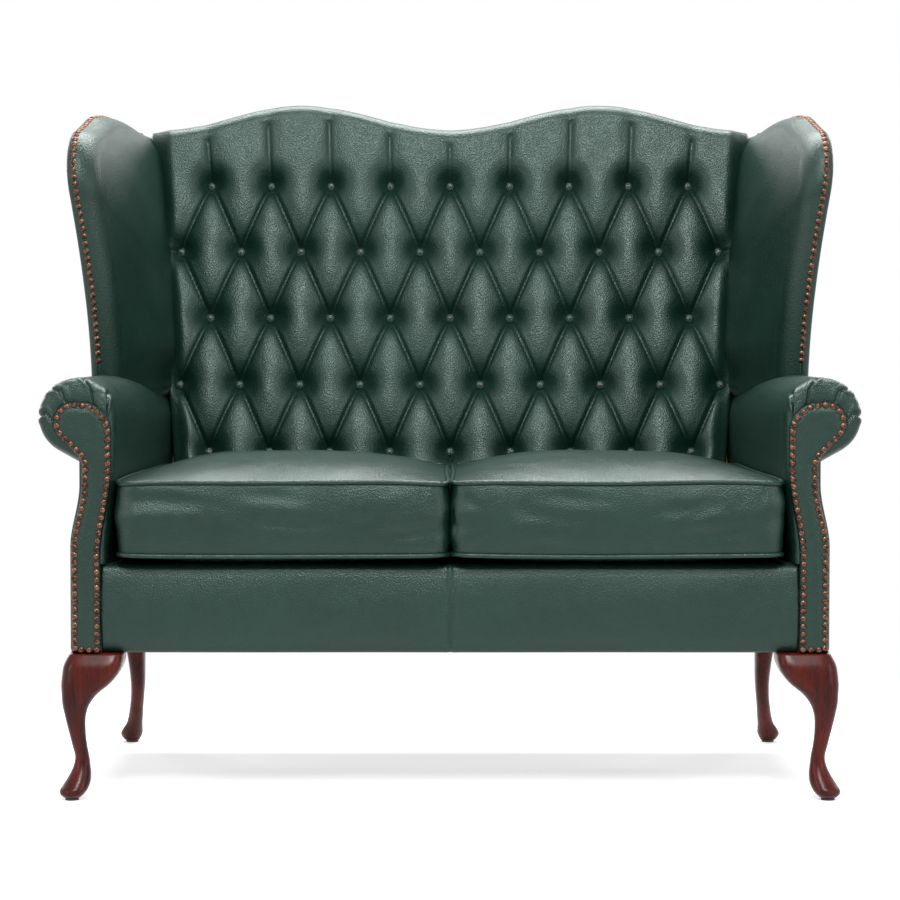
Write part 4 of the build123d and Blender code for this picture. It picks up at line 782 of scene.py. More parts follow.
@dataclass
class ButtonedBack(Piece):
    """Deep-buttoned inside back, its buttons and the outside back."""

    height: float = 27.0
    crease: float = 0.42
    reach: float = 47.0
    roll: float = 26.0

    def segments(self) -> list[tuple[tuple[float, float], tuple[float, float], float, float]]:
        """Crease lines on the slope.

        Returns:
            Two ends, a depth share and a reach of each line.
        """
        plan = self.plan
        spots = plan.buttons()
        lines = []
        for ua, va in spots:
            for ub, vb in spots:
                if abs(vb - va - plan.row) < 1 and abs(abs(ub - ua) - plan.pitch / 2) < 1:
                    lines.append(((ua, va), (ub, vb), 1.0, self.reach))
        top = max(v for _, v in spots)
        low = min(v for _, v in spots)
        for u, v in spots:
            if v == top:
                lines.append(((u, v), (u * 1.015, plan.camel(u) - 34.0), 0.62 if u else 0.4, 30.0))
            if v == low:
                lines.append(((u, v), (u, 40.0), 0.9, self.reach))
            if abs(u) > 4.4 * plan.pitch:
                side = math.copysign(1.0, u)
                lines.append(((u, v), (side * (abs(u) + 90.0), v + 4.0), 0.85, 34.0))
        for side in (-1, 1):
            foot, head = (side * plan.back_half(0.0), 0.0), (side * plan.back_half(850.0), 850.0)
            lines.append((foot, head, 1.0, self.reach))
        return lines

    def relief(self, u: Array, v: Array) -> Array:
        """Height of the hide over its base on the slope.

        Args:
            u: Widths.
            v: Rises.

        Returns:
            Heights in millimetres.
        """
        plan = self.plan
        puff = np.ones_like(u)
        fold = np.zeros_like(u)
        for (ua, va), (ub, vb), depth, reach in self.segments():
            du, dv = ub - ua, vb - va
            size = math.hypot(du, dv)
            share = np.clip(((u - ua) * du + (v - va) * dv) / size**2, 0, 1)
            off = np.hypot(u - ua - share * du, v - va - share * dv)
            near = np.clip(off / reach, 0, 1)
            curve = np.sqrt(np.clip(1 - np.square(1 - near), 0, 1))
            puff *= 1 - depth * (1 - curve)
            side = ((u - ua) * dv - (v - va) * du) * (1 if du >= 0 else -1) / size
            fold -= depth * 2.6 * bell(off, 2.6)
            fold += depth * 1.5 * bell(side + 7.0, 5.0) * (share > 0) * (share < 1) * bell(off, 14.0)
        nearest = np.full_like(u, 1e9)
        for ub, vb in plan.buttons():
            nearest = np.minimum(nearest, np.hypot(u - ub, v - vb))
        rise = 1 - np.exp(-np.square(nearest / 30.0))
        pull = bell(nearest, 16.0)
        shape = (1 - self.crease) * puff + self.crease * rise
        side_in = smooth(plan.back_half(v) - np.abs(u), 0.0, 38.0)
        ripple = 0.6 * np.sin(u * 0.083 + 2 * np.sin(v * 0.021))
        ripple = ripple * np.sin(v * 0.057 + 1.3 * np.sin(u * 0.017))
        return (self.height * shape + fold + ripple * puff) * (0.35 + 0.65 * side_in) - 11.0 * pull

    def build(self) -> None:
        """Make the hide, the buttons and the outside panel."""
        plan = self.plan

        def hide(s: Array, t: Array) -> Array:
            """Points of the hide.

            Args:
                s: Shares across.
                t: Shares from the seat up and over the top.

            Returns:
                Points in millimetres.
            """
            wide = np.sign(s - 0.5) * np.abs(2 * s - 1)
            front = np.clip(t / 0.84, 0, 1)
            over = np.clip((t - 0.84) / 0.16, 0, 1)
            u0 = wide * plan.back_half(np.full_like(s, 400.0))
            top = plan.camel(u0) - self.roll
            v = 48.0 + front * (top - 48.0)
            u = wide * plan.back_half(v)
            height = plan.tuft_foot - 2.0 + self.relief(u, v)
            turn = np.clip(over / 0.5, 0, 1) * np.pi / 2
            back = np.clip((over - 0.5) / 0.5, 0, 1)
            radius = self.roll
            w = height - radius * (1 - np.cos(turn)) - back * (height - radius + 36.5)
            v = v + radius * np.sin(turn) * (over > 0) - 24.0 * back**10
            return plan.slope(u, v, w)

        cover = MeshKit.piece("back_hide", [MeshKit.grid(340, 290, hide)], heart=(0.0, 1500.0, 800.0))
        self.join(cover, Body.FRAME, Slot.LEATHER, ["back_cover", "back_foam"], 0.8)
        domes = []
        for u, v in plan.buttons():
            seat = plan.slope(np.array(u), np.array(v), np.array(plan.tuft_foot - 12.5))
            ahead = np.array([0.0, -math.cos(plan.rake), math.sin(plan.rake)])
            domes.append(MeshKit.dome(seat, ahead, 10.5, 6.5, 6, 16))
        buttons = MeshKit.piece("buttons", domes)
        self.join(buttons, Body.FRAME, Slot.LEATHER, ["tuft_buttons"])
        self.outside()

    def outside(self) -> None:
        """Make the outside back panel, drawn over the frame."""
        plan = self.plan

        def panel(s: Array, t: Array) -> Array:
            """Points of the outside back.

            Args:
                s: Shares across.
                t: Shares from the foot up.

            Returns:
                Points in millimetres.
            """
            wide = (2 * s - 1) * plan.half_base
            top = plan.camel(wide) - 13.0 + 30.0 * smooth(np.abs(wide), 530.0, 560.0)
            low = np.clip(t / 0.13, 0, 1)
            high = np.clip((t - 0.13) / 0.87, 0, 1)
            edge = np.minimum(np.minimum(s, 1 - s) * 2 * plan.half_base, (1 - t) * 860.0)
            tuck = 7.0 * np.square(1 - np.clip(edge / 10.0, 0, 1))
            puff = 3.0 * smooth(edge, 0.0, 160.0) * smooth(t, 0.0, 0.25)
            raked = plan.slope(wide, high * top, -35.3 - puff + tuck)
            flat = plan.point(wide, 623.0 + 8.3 + puff - tuck, plan.leg_height + low * 97.0)
            share = smooth(t, 0.10, 0.17)[:, None]
            return flat * (1 - share) + raked * share

        grid = MeshKit.grid(160, 120, panel)
        piece = MeshKit.piece("outside_back_hide", [grid], heart=(0.0, -1500.0, 700.0))
        self.join(piece, Body.FRAME, Slot.LEATHER, ["outside_back"])


@dataclass
class Arm(SidedPiece):
    """Scroll arm: roll and inside, facing, nails and outside panel."""

    pleats: tuple = (0.515, 0.60, 0.71, 0.80)
    edge: float = 20.0

    def section(self, share: float, inset: float) -> Path:
        """Arm section from the seat, over the roll, to the crease below it.

        Args:
            share: Place along the arm, from front to back.
            inset: Distance that the section is drawn in.

        Returns:
            The section as widths and heights.
        """
        plan = self.plan
        shift = plan.toe_in * share
        top_x = plan.wall_top - shift + inset
        foot_x = plan.wall_foot - shift + inset
        outer = 652.0 - 26.0 * share - inset
        high = plan.arm_height - 11.0 * share - inset
        centre = plan.roll_centre - 25.0 * share
        spring = plan.roll_height - 35.0 * share
        radius = plan.roll_radius - inset
        angle = math.radians(-60.7)
        low = (outer - radius * (1 - math.cos(angle)), plan.roll_height + radius * math.sin(angle))
        k = math.sqrt(0.5)
        half = angle / 2
        parts = [
            np.array([(foot_x, plan.deck), (top_x + 1.0, 520.0), (top_x, 555.0), (top_x, spring)]),
            arc_points((top_x, spring), (centre - (centre - top_x) * k, spring + (high - spring) * k),
                       (centre, high), 24),
            arc_points((centre, high),
                       (centre + (outer - centre) * k, plan.roll_height + (high - plan.roll_height) * k),
                       (outer, plan.roll_height), 24),
            arc_points((outer, plan.roll_height), (outer - radius * (1 - math.cos(half)),
                       plan.roll_height + radius * math.sin(half)), low, 16),
            np.array([low, (584.0, low[1] - (low[0] - 584.0) * 0.56)]),
        ]
        return Path(np.concatenate(parts))

    def leaf(self, inset: float) -> tuple[Array, Array]:
        """Facing edges by height, drawn in by an inset.

        Args:
            inset: The inset.

        Returns:
            Inner and outer edge, from the foot up.
        """
        i = inset
        rc, rh = self.plan.roll_centre, self.plan.roll_height
        lobe = rh - 25.0
        inner = [np.array([(553.0 + i, 233.0 + i), (553.0 + i, 385.0)])]
        ease = np.linspace(0, 1, 16)
        bend = ease * ease * (3 - 2 * ease)
        inner.append(np.stack([553.0 - 18.0 * bend + i, 385.0 + 140.0 * ease], axis=-1))
        inner.append(np.array([(535.0 + i, 525.0), (535.0 + i, lobe)]))
        top = (rc - 5.5, lobe + 49.0 - i)
        inner.append(arc_points((535.0 + i, lobe), (547.5 + i, lobe + 34.0 - 0.7 * i), top, 24))
        outer = [np.array([(599.5 - i, 233.0 + i), (599.5 - i, 400.0)])]
        outer.append(np.stack([599.5 - 17.0 * bend - i, 400.0 + 100.0 * ease], axis=-1))
        outer.append(np.array([(582.5 - i, 500.0), (582.5 - i, 520.0)]))
        neck = (588.0 - 0.72 * i, 546.0 + 0.69 * i)
        chin = (rc + 23.5 - 0.72 * i, lobe - 10.0 + 0.69 * i)
        cheek = (rc + 36.5 - i, lobe + 16.0)
        outer.append(arc_points((582.5 - i, 520.0), (582.8 - i, 535.5 + 0.4 * i), neck, 10))
        outer.append(np.array([neck, chin]))
        outer.append(arc_points(chin, (rc + 33.5 - i, lobe + 2.0 + 0.3 * i), cheek, 12))
        outer.append(arc_points(cheek, (rc + 26.5 - 0.7 * i, lobe + 40.5 - 0.7 * i), top, 20))
        return np.concatenate(inner), np.concatenate(outer)

    def rim(self, inset: float) -> Path:
        """Facing outline above the seat, inner side first.

        Args:
            inset: Distance that the outline is drawn in.

        Returns:
            The outline.
        """
        inner, outer = self.leaf(inset)
        inner = inner[inner[:, 1] > self.plan.deck]
        outer = outer[outer[:, 1] > 530.0]
        return Path(np.concatenate([inner, outer[::-1]]))

    def loop(self, inset: float) -> Path:
        """Whole facing outline."""
        inner, outer = self.leaf(inset)
        return Path(np.concatenate([inner, outer[::-1], inner[:1]]))

    def build(self) -> None:
        """Make every piece of the arm."""
        name = self.side.label
        plan = self.plan
        table = {}
        rim = self.rim(5.0)

        def spot(s: Array, depth: Array, inset: Array) -> Array:
            """Points of the arm's sections.

            Args:
                s: Shares along the section.
                depth: Depths behind the facing.
                inset: Insets of the section.

            Returns:
                Widths and heights.
            """
            out = np.empty((len(s), 2))
            keys = np.round(depth, 3) * 1000 + np.round(inset, 3)
            for key in np.unique(keys):
                mine = keys == key
                d, i = float(depth[mine][0]), float(inset[mine][0])
                if key not in table:
                    table[key] = self.section(float(plan.arm_share(d)), i)
                out[mine] = table[key].at(s[mine])
            return out

        def cover(s: Array, t: Array) -> Array:
            """Points of the cover.

            Args:
                s: Shares from the seat over the roll.
                t: Shares from the facing to the back.

            Returns:
                Points in millimetres.
            """
            cap = np.clip(t / 0.10, 0, 1)
            curl = np.clip((t - 0.10) / 0.14, 0, 1)
            run = np.clip((t - 0.24) / 0.71, 0, 1)
            close = np.clip((t - 0.95) / 0.05, 0, 1)
            turn = np.round(curl * 14) / 14 * np.pi / 2
            inset = self.edge * (1 - np.sin(turn)) * 0.62
            depth = 8.6 + self.edge * (1 - np.cos(turn)) + run * (655.0 - 28.0)
            flat = spot(s, depth, inset)
            facing = rim.at(s)
            flat = facing * (1 - cap)[:, None] + flat * cap[:, None]
            depth = depth - 1.5 * np.sin(np.pi * cap)
            front = bell(np.maximum(depth - 16.0, 0), 24.0) * smooth(cap, 0.0, 0.35)
            pinch = np.zeros_like(s)
            for k, at in enumerate(self.pleats):
                side = s - at - 0.004 * (k - 1.5) * (1 - cap)
                pinch += bell(side, 0.0045) - 0.45 * bell(side - 0.016, 0.009)
                pinch -= 0.35 * bell(side + 0.016, 0.009)
            heart = np.array([plan.roll_centre, plan.roll_height])
            away = flat - heart
            away /= np.maximum(np.linalg.norm(away, axis=1, keepdims=True), 1.0)
            upper = smooth(flat[:, 1], 540.0, 565.0)
            flat = flat - away * (3.2 * pinch * front * upper)[:, None]
            depth = depth + 3.5 * pinch * front * upper * smooth(-depth, -26.0, -10.0)
            swell = 1.2 * np.sin(depth * 0.021 + 3 * s) * np.sin(9 * s + 0.6) * run
            flat[:, 0] -= swell * (s < 0.5)
            limit = plan.frame_depth + (flat[:, 1] - plan.rail_top) * math.tan(plan.rake) + 20.0
            depth = np.minimum(depth, limit)
            knot = np.array([555.0, 575.0])
            flat = flat + (knot - flat) * (close * smooth(flat[:, 1], 520.0, 560.0))[:, None]
            return self.flip(plan.point(flat[:, 0], depth, flat[:, 1]))

        hide = MeshKit.piece("arm_hide_" + name, [MeshKit.grid(240, 110, cover)],
                             heart=(self.side.value * 572.0, 0.0, 560.0))
        nodes = ["arm_cover_" + name]
        if self.side is Side.LEFT:
            nodes.append("arm_foam")
        self.join(hide, Body.FRAME, Slot.LEATHER, nodes, 0.85)
        self.face(name)
        self.nails(name)
        self.outside(name)

    def face(self, name: str) -> None:
        """Make the padded facing.

        Args:
            name: Name of the side.
        """
        inner, outer = self.leaf(0.0)
        top = inner[-1, 1]

        def panel(s: Array, t: Array) -> Array:
            """Points of the facing.

            Args:
                s: Shares across.
                t: Shares from the foot up.

            Returns:
                Points in millimetres.
            """
            rise = np.where(t < 0.5, 1.5 * t, 0.75 + 0.25 * np.sin((t - 0.5) * np.pi))
            z = 233.5 + (top - 233.6) * rise
            low = np.interp(z, inner[:, 1], inner[:, 0])
            high = np.interp(z, np.maximum.accumulate(outer[:, 1]), outer[:, 0])
            across = (1 - np.cos(np.pi * s)) / 2
            x = low + (high - low) * across
            edge = np.minimum(np.minimum(x - low, high - x), np.minimum(z - 233.5, (top - z) * 1.2))
            rise = np.sqrt(np.clip(1 - np.square(1 - np.clip(edge / 7.0, 0, 1)), 0, 1))
            crown = 2.2 * smooth(edge, 6.0, 22.0)
            return self.flip(self.plan.point(x, 8.0 - 8.0 * rise + 1.0 - crown, z))

        behind = (self.side.value * 575.0, 900.0, 430.0)
        piece = MeshKit.piece("facing_" + name, [MeshKit.grid(36, 170, panel)], 1e-6, behind)
        self.join(piece, Body.FRAME, Slot.LEATHER, ["arm_facing_" + name], 0.5)

    def nails(self, name: str) -> None:
        """Make the nails round the facing.

        Args:
            name: Name of the side.
        """
        loop = self.loop(6.0)
        count = round(loop.length / self.plan.nail_pitch)
        domes = []
        for spot in loop.at(np.arange(count) / count):
            seat = self.flip(self.plan.point(np.array([spot[0]]), np.array([1.2]), np.array([spot[1]])))[0]
            domes.append(self.nail(seat, np.array([0, -1.0, 0])))
        piece = MeshKit.piece("facing_nails_" + name, domes)
        self.join(piece, Body.FRAME, Slot.NAIL, ["facing_nails"] if self.side is Side.LEFT else [])

    def outside(self, name: str) -> None:
        """Make the outside arm panel.

        Args:
            name: Name of the side.
        """
        plan = self.plan

        def panel(s: Array, t: Array) -> Array:
            """Points of the outside arm.

            Args:
                s: Shares from front to back.
                t: Shares from the foot up.

            Returns:
                Points in millimetres.
            """
            rear = 623.0 + np.maximum(0.0, t * 320.0 - 97.0) * math.tan(plan.rake) + 2.0
            depth = 9.0 + s * (rear - 9.0)
            z = plan.leg_height + 0.3 + t * 316.0
            fade = 1 - smooth(depth, 40.0, 400.0)
            draw = 15.0 * fade * smooth(z, 400.0, 500.0)
            wrap = np.clip((depth - 9.0) / 9.0, 0, 1)
            curl = 8.0 * (1 - np.sqrt(np.clip(1 - np.square(1 - wrap), 0, 1)))
            foot = 3.0 * np.square(1 - np.clip((z - 233.0) / 6.0, 0, 1))
            x = plan.half_base - draw - curl - foot
            return self.flip(plan.point(x, depth, z))

        grid = MeshKit.grid(150, 90, panel)
        piece = MeshKit.piece("outside_arm_hide_" + name, [grid], heart=(0.0, 0.0, 400.0))
        self.join(piece, Body.FRAME, Slot.LEATHER, ["outside_arm_" + name])


@dataclass
class Wing(SidedPiece):
    """Wing: padded inside, outside panel and edge nails."""

    flare: tuple = ((0.0, 0.0), (0.25, 0.06), (0.52, 0.43), (0.80, 1.0), (1.15, 1.24))

    def outer(self, depth: Array, z: Array) -> Array:
        """Half width of the outside of the wing.

        Args:
            depth: Depths behind the facings.
            z: Heights.

        Returns:
            Half widths.
        """
        heights = np.array([609.0 + h * 495.0 for h, _ in self.flare])
        fine = np.linspace(heights[0], heights[-1], 60)
        values = np.interp(fine, heights, [f for _, f in self.flare])
        soft = np.convolve(np.pad(values, 6, mode="edge"), np.ones(13) / 13, mode="valid")
        share = np.interp(z, fine, soft)
        run = np.maximum(0.0, (637.0 - depth) / (637.0 - 292.0))
        return self.plan.half_base + 37.0 * share * run

    def edge(self) -> Path:
        """Front and top edge of the wing.

        Returns:
            The edge as depths and heights.
        """
        parts = [
            np.array([(352.0, 590.0), (348.0, 640.0)]),
            arc_points((345.0, 660.0), (313.0, 816.0), (292.0, 960.0), 40),
            arc_points((292.0, 960.0), (302.0, 1036.0), (352.0, 1072.0), 30),
            arc_points((352.0, 1072.0), (399.0, 1083.5), (450.0, 1098.0), 20),
            arc_points((450.0, 1098.0), (530.0, 1104.0), (640.0, 1096.0), 30),
            np.array([(640.0, 1096.0), (800.0, 1088.0)]),
        ]
        return Path(np.concatenate(parts))

    def spine(self, share: Array, off: float) -> tuple[Array, Array]:
        """Line where the wing meets the back.

        Args:
            share: Shares from the arm up.
            off: Height of the line off the back frame.

        Returns:
            Depths and heights.
        """
        plan = self.plan
        rise = (560.0 - plan.rail_top) / math.cos(plan.rake)
        top = 772.0
        v = rise + (top - rise) * share
        tuck = smooth(share, 0.8, 1.0)
        spots = plan.slope(np.zeros_like(share), v, off * (1 - tuck) - 25.0 * tuck)
        return spots[:, 1] - plan.front_y, spots[:, 2]

    def build(self) -> None:
        """Make every piece of the wing."""
        name = self.side.label
        plan = self.plan
        edge = self.edge()

        def fan(along: Array, inward: Array, off: float) -> tuple[Array, Array, Array]:
            """Places between the edge and the back.

            Args:
                along: Shares along the edge.
                inward: Shares from the edge to the back.
                off: Height of the back end off the back frame.

            Returns:
                Depths, heights and distances from the edge.
            """
            rim = edge.at(along)
            tail_d, tail_z = self.spine(smooth(along, 0.0, 1.0) * 0.35 + along * 0.65, off)
            depth = rim[:, 0] * (1 - inward) + tail_d * inward
            z = rim[:, 1] * (1 - inward) + tail_z * inward
            return depth, z, np.hypot(depth - rim[:, 0], z - rim[:, 1])

        def inside(s: Array, t: Array) -> Array:
            """Points of the inside.

            Args:
                s: Shares from the edge to the back.
                t: Shares along the edge.

            Returns:
                Points in millimetres.
            """
            inward = np.where(s < 0.25, 0.12 * (s / 0.25) ** 1.6, 0.12 + 0.88 * (s - 0.25) / 0.75)
            depth, z, far = fan(t, inward, 26.0)
            spine_d, spine_z = self.spine(t, 26.0)
            reach = np.hypot(edge.at(t)[:, 0] - spine_d, edge.at(t)[:, 1] - spine_z)
            outer = self.outer(depth, z)
            v = (z - plan.rail_top) / math.cos(plan.rake)
            goal = outer - plan.back_half(v) + 6.0 + 16.0 * smooth(z, 640.0, 720.0)
            goal = goal - 40.0 * (1 - smooth(z, 575.0, 640.0))
            lip = np.sqrt(np.clip(1 - np.square(1 - np.clip(far / 34.0, 0, 1)), 0, 1))
            share = np.clip(far / np.maximum(reach, 40.0), 0, 1)
            body = np.sin(np.clip(share, 0, 1) * np.pi / 2) ** 1.25
            thick = 14.0 + 32.0 * lip * np.minimum(1.0, goal / 60.0) + np.maximum(goal - 46.0, 0.0) * body
            wave = 1.4 * np.sin(z * 0.031 + 1.5 * np.sin(depth * 0.013)) * np.sin(depth * 0.025 + 0.5) * lip
            return self.flip(plan.point(outer - thick + wave, depth - 0.5, z))

        hide = MeshKit.piece("wing_hide_" + name, [MeshKit.grid(120, 190, inside)],
                             heart=(self.side.value * 1500.0, 300.0, 700.0))
        nodes = ["wing_cover_" + name]
        if self.side is Side.LEFT:
            nodes.append("wing_foam")
        self.join(hide, Body.FRAME, Slot.LEATHER, nodes, 0.85)

        def outside(s: Array, t: Array) -> Array:
            """Points of the outside.

            Args:
                s: Shares from the edge to the back.
                t: Shares along the edge.

            Returns:
                Points in millimetres.
            """
            inward = np.where(s < 0.3, 0.06 * (s / 0.3), 0.06 + 0.94 * (s - 0.3) / 0.7)
            depth, z, far = fan(t, inward, -33.0)
            outer = self.outer(depth, z)
            curl = 14.5 * (1 - np.sqrt(np.clip(1 - np.square(1 - np.clip(far / 13.0, 0, 1)), 0, 1)))
            return self.flip(plan.point(outer - curl, depth, z))

        grid = MeshKit.grid(110, 170, outside)
        panel = MeshKit.piece("outside_wing_hide_" + name, [grid], heart=(0.0, 0.0, 800.0))
        self.join(panel, Body.FRAME, Slot.LEATHER, ["outside_wing_" + name])
        self.nails(name, edge)

    def nails(self, name: str, edge: Path) -> None:
        """Make the nails up the front edge and over the top.

        Args:
            name: Name of the side.
            edge: Edge of the wing.
        """
        count = round(edge.length / self.plan.nail_pitch)
        domes = []
        for share in np.arange(1, count) / count:
            depth, z = edge.at(share)
            if z < self.plan.arm_height + 10.0 or depth > 600.0:
                continue
            way = edge.heading(share)
            out = np.array([0.0, -way[1], way[0]])
            x = self.outer(np.array([depth]), np.array([z])) - 14.0
            seat = self.flip(self.plan.point(x, np.array([depth]), np.array([z])))[0] - out * 0.6
            domes.append(self.nail(seat, out))
        piece = MeshKit.piece("wing_nails_" + name, domes)
        self.join(piece, Body.FRAME, Slot.NAIL, ["wing_nails"] if self.side is Side.LEFT else [])


@dataclass
class SeatCushion(SidedPiece):
    """Loose box cushion with crown, piping and wrinkled boxing."""

    crown: float = 29.0
    low_seam: float = 388.0
    high_seam: float = 505.0
    corner: float = 30.0
    front: float = -9.0
    rear: float = 536.0

    @property
    def seed(self) -> float:
        """Start of the wrinkles, different on each side."""
        return 1.7 if self.side is Side.RIGHT else 0.4

    def plan_point(self, s: Array, t: Array) -> tuple[Array, Array]:
        """Places on the plan, corners rounded.

        Args:
            s: Shares across.
            t: Shares from front to back.

        Returns:
            Widths and depths.
        """
        inner = 3.2
        depth = self.front + t * (self.rear - self.front)
        outer = self.plan.wall_top - self.plan.toe_in * self.plan.arm_share(depth) - 3.0
        wide = outer - inner
        x = inner + s * wide
        r = self.corner
        left, right = x - inner, outer - x
        near_x = np.minimum(left, right)
        near_d = np.minimum(depth - self.front, self.rear - depth)
        p = np.clip(r - near_x, 0, r)
        q = np.clip(r - near_d, 0, r)
        size = np.hypot(p, q)
        scale = np.where(size > 1e-6, np.maximum(p, q) / np.maximum(size, 1e-6), 1.0)
        both = (p > 0) & (q > 0)
        shift_x = np.where(both, p * (1 - scale), 0.0)
        shift_d = np.where(both, q * (1 - scale), 0.0)
        x = x + np.where(left < right, shift_x, -shift_x)
        depth = depth + np.where(depth - self.front < self.rear - depth, shift_d, -shift_d)
        draw = 3.5
        bow_d = draw * np.sin(np.pi * s)
        bow_x = draw * np.sin(np.pi * t)
        depth = depth + bow_d * (1 - 2 * t)
        x = x + bow_x * (1 - 2 * s)
        return x, depth

    def seam(self, high: bool, count: tuple[int, int]) -> Array:
        """Closed seam line round the cushion, at its grid's edge.

        Args:
            high: Whether it is the upper seam.
            count: Segments across and along.

        Returns:
            Widths, depths and heights.
        """
        across, along = count
        run_s, run_t = np.arange(across) / across, np.arange(along) / along
        s = np.concatenate([run_s, np.ones(along), 1 - run_s, np.zeros(along)])
        t = np.concatenate([np.zeros(across), run_t, np.ones(across), 1 - run_t])
        x, depth = self.plan_point(s, t)
        z = self.lift(s, t, high)
        return np.stack([x, depth, z], axis=-1)

    def lift(self, s: Array, t: Array, high: bool) -> Array:
        """Height of a seam, softly uneven.

        Args:
            s: Shares across.
            t: Shares from front to back.
            high: Whether it is the upper seam.

        Returns:
            Heights.
        """
        seed = self.seed
        wave = 1.5 * np.sin(7.0 * s + seed) * np.sin(5.0 * t + seed)
        droop = -4.0 * (np.power(np.abs(2 * s - 1), 6)) * (np.power(np.abs(2 * t - 1), 6))
        return (self.high_seam + droop + wave) if high else (self.low_seam - droop * 0.5 + 0.6 * wave)

    def build(self) -> None:
        """Make the cover and its piping."""
        plan = self.plan
        count = (110, 114)
        seed = self.seed

        def swell(s: Array, t: Array) -> Array:
            """Share of the crown.

            Args:
                s: Shares across.
                t: Shares from front to back.

            Returns:
                Shares from 0 at the seams to 1.
            """
            near_s = np.minimum(s, 1 - s) * 520.0
            near_t = np.minimum(t, 1 - t) * 545.0
            rise_s = 1 - np.power(1 - np.clip(near_s / 200.0, 0, 1), 2.6)
            rise_t = 1 - np.power(1 - np.clip(near_t / 200.0, 0, 1), 2.6)
            return rise_s * rise_t

        def top(s: Array, t: Array) -> Array:
            """Points of the top.

            Args:
                s: Shares across.
                t: Shares from front to back.

            Returns:
                Points in millimetres.
            """
            x, depth = self.plan_point(s, t)
            puff = swell(s, t)
            wrinkle = 1.3 * np.sin(0.033 * x + 2.2 * np.sin(0.011 * depth + seed))
            wrinkle = wrinkle * np.sin(0.026 * depth + seed)
            wrinkle += 0.7 * np.sin(0.07 * x + 0.05 * depth + 2 * seed) * np.sin(0.013 * x - 0.03 * depth)
            z = self.lift(s, t, True) + self.crown * puff + wrinkle * np.sqrt(puff)
            return self.flip(plan.point(x, depth, z))

        def base(s: Array, t: Array) -> Array:
            """Points of the base.

            Args:
                s: Shares across.
                t: Shares from front to back.

            Returns:
                Points in millimetres.
            """
            x, depth = self.plan_point(s, t)
            puff = swell(s, t)
            return self.flip(plan.point(x, depth, self.lift(s, t, False) - 13.0 * np.minimum(1.0, puff * 2.2)))

        low = self.seam(False, count)
        high = self.seam(True, count)
        total = len(low)

        def boxing(s: Array, t: Array) -> Array:
            """Points of the side strip.

            Args:
                s: Shares round the cushion.
                t: Shares from the lower seam up.

            Returns:
                Points in millimetres.
            """
            index = np.rint(s * total).astype(int) % total
            spots = low[index] * (1 - t)[:, None] + high[index] * t[:, None]
            ahead = np.roll(low, -1, axis=0) - np.roll(low, 1, axis=0)
            out = np.stack([ahead[:, 1], -ahead[:, 0]], axis=-1)[index]
            out /= np.maximum(np.linalg.norm(out, axis=1, keepdims=True), 1e-9)
            rise = np.sin(np.pi * t)
            along = index / total * 2 * (520.0 + 545.0)
            wide = np.sin(3.0 * np.pi * t + 0.8 * np.sin(along * 0.018 + seed) + seed)
            slim = np.sin(5.0 * np.pi * t + 1.5 * np.sin(along * 0.011 - seed))
            crease = 0.9 * wide * np.sin(along * 0.009 + 2 * seed)
            crease += 0.8 * slim * np.sin(along * 0.016 + seed)
            crease += 0.5 * np.sin(along * 0.06 + 4 * t) * np.sin(along * 0.021)
            push = np.minimum(6.5 * rise + 2.3 * crease * rise, 9.5)
            front = smooth(-spots[:, 1], -40.0, -0.0)
            push = push * front + np.minimum(push, 2.0) * (1 - front)
            spots[:, :2] += out * push[:, None]
            return self.flip(plan.point(spots[:, 0], spots[:, 1], spots[:, 2]))

        grids = [MeshKit.grid(*count, top), MeshKit.grid(*count, base), MeshKit.grid(total, 26, boxing)]
        name = self.side.label
        body = Body.CUSHION_LEFT if self.side is Side.LEFT else Body.CUSHION_RIGHT
        cover = MeshKit.piece("cushion_" + name, grids, 2e-5)
        self.join(cover, body, Slot.LEATHER, ["cushion_cover_" + name, "cushion_core_" + name], 0.75)
        seams = np.concatenate([high, low])
        self.inflate(cover, self.flip(plan.point(seams[:, 0], seams[:, 1], seams[:, 2])) * MM)
        pipes = []
        for line in (high, low):
            ahead = np.roll(line, -1, axis=0) - np.roll(line, 1, axis=0)
            out = np.stack([ahead[:, 1], -ahead[:, 0], np.zeros(total)], axis=-1)
            out /= np.maximum(np.linalg.norm(out, axis=1, keepdims=True), 1e-9)
            rope = line + out * 1.2
            pipes.append(MeshKit.tube(self.flip(plan.point(rope[:, 0], rope[:, 1], rope[:, 2])), 3.9, 10, True))
        piping = MeshKit.piece("piping_" + name, pipes)
        self.join(piping, body, Slot.LEATHER, [])

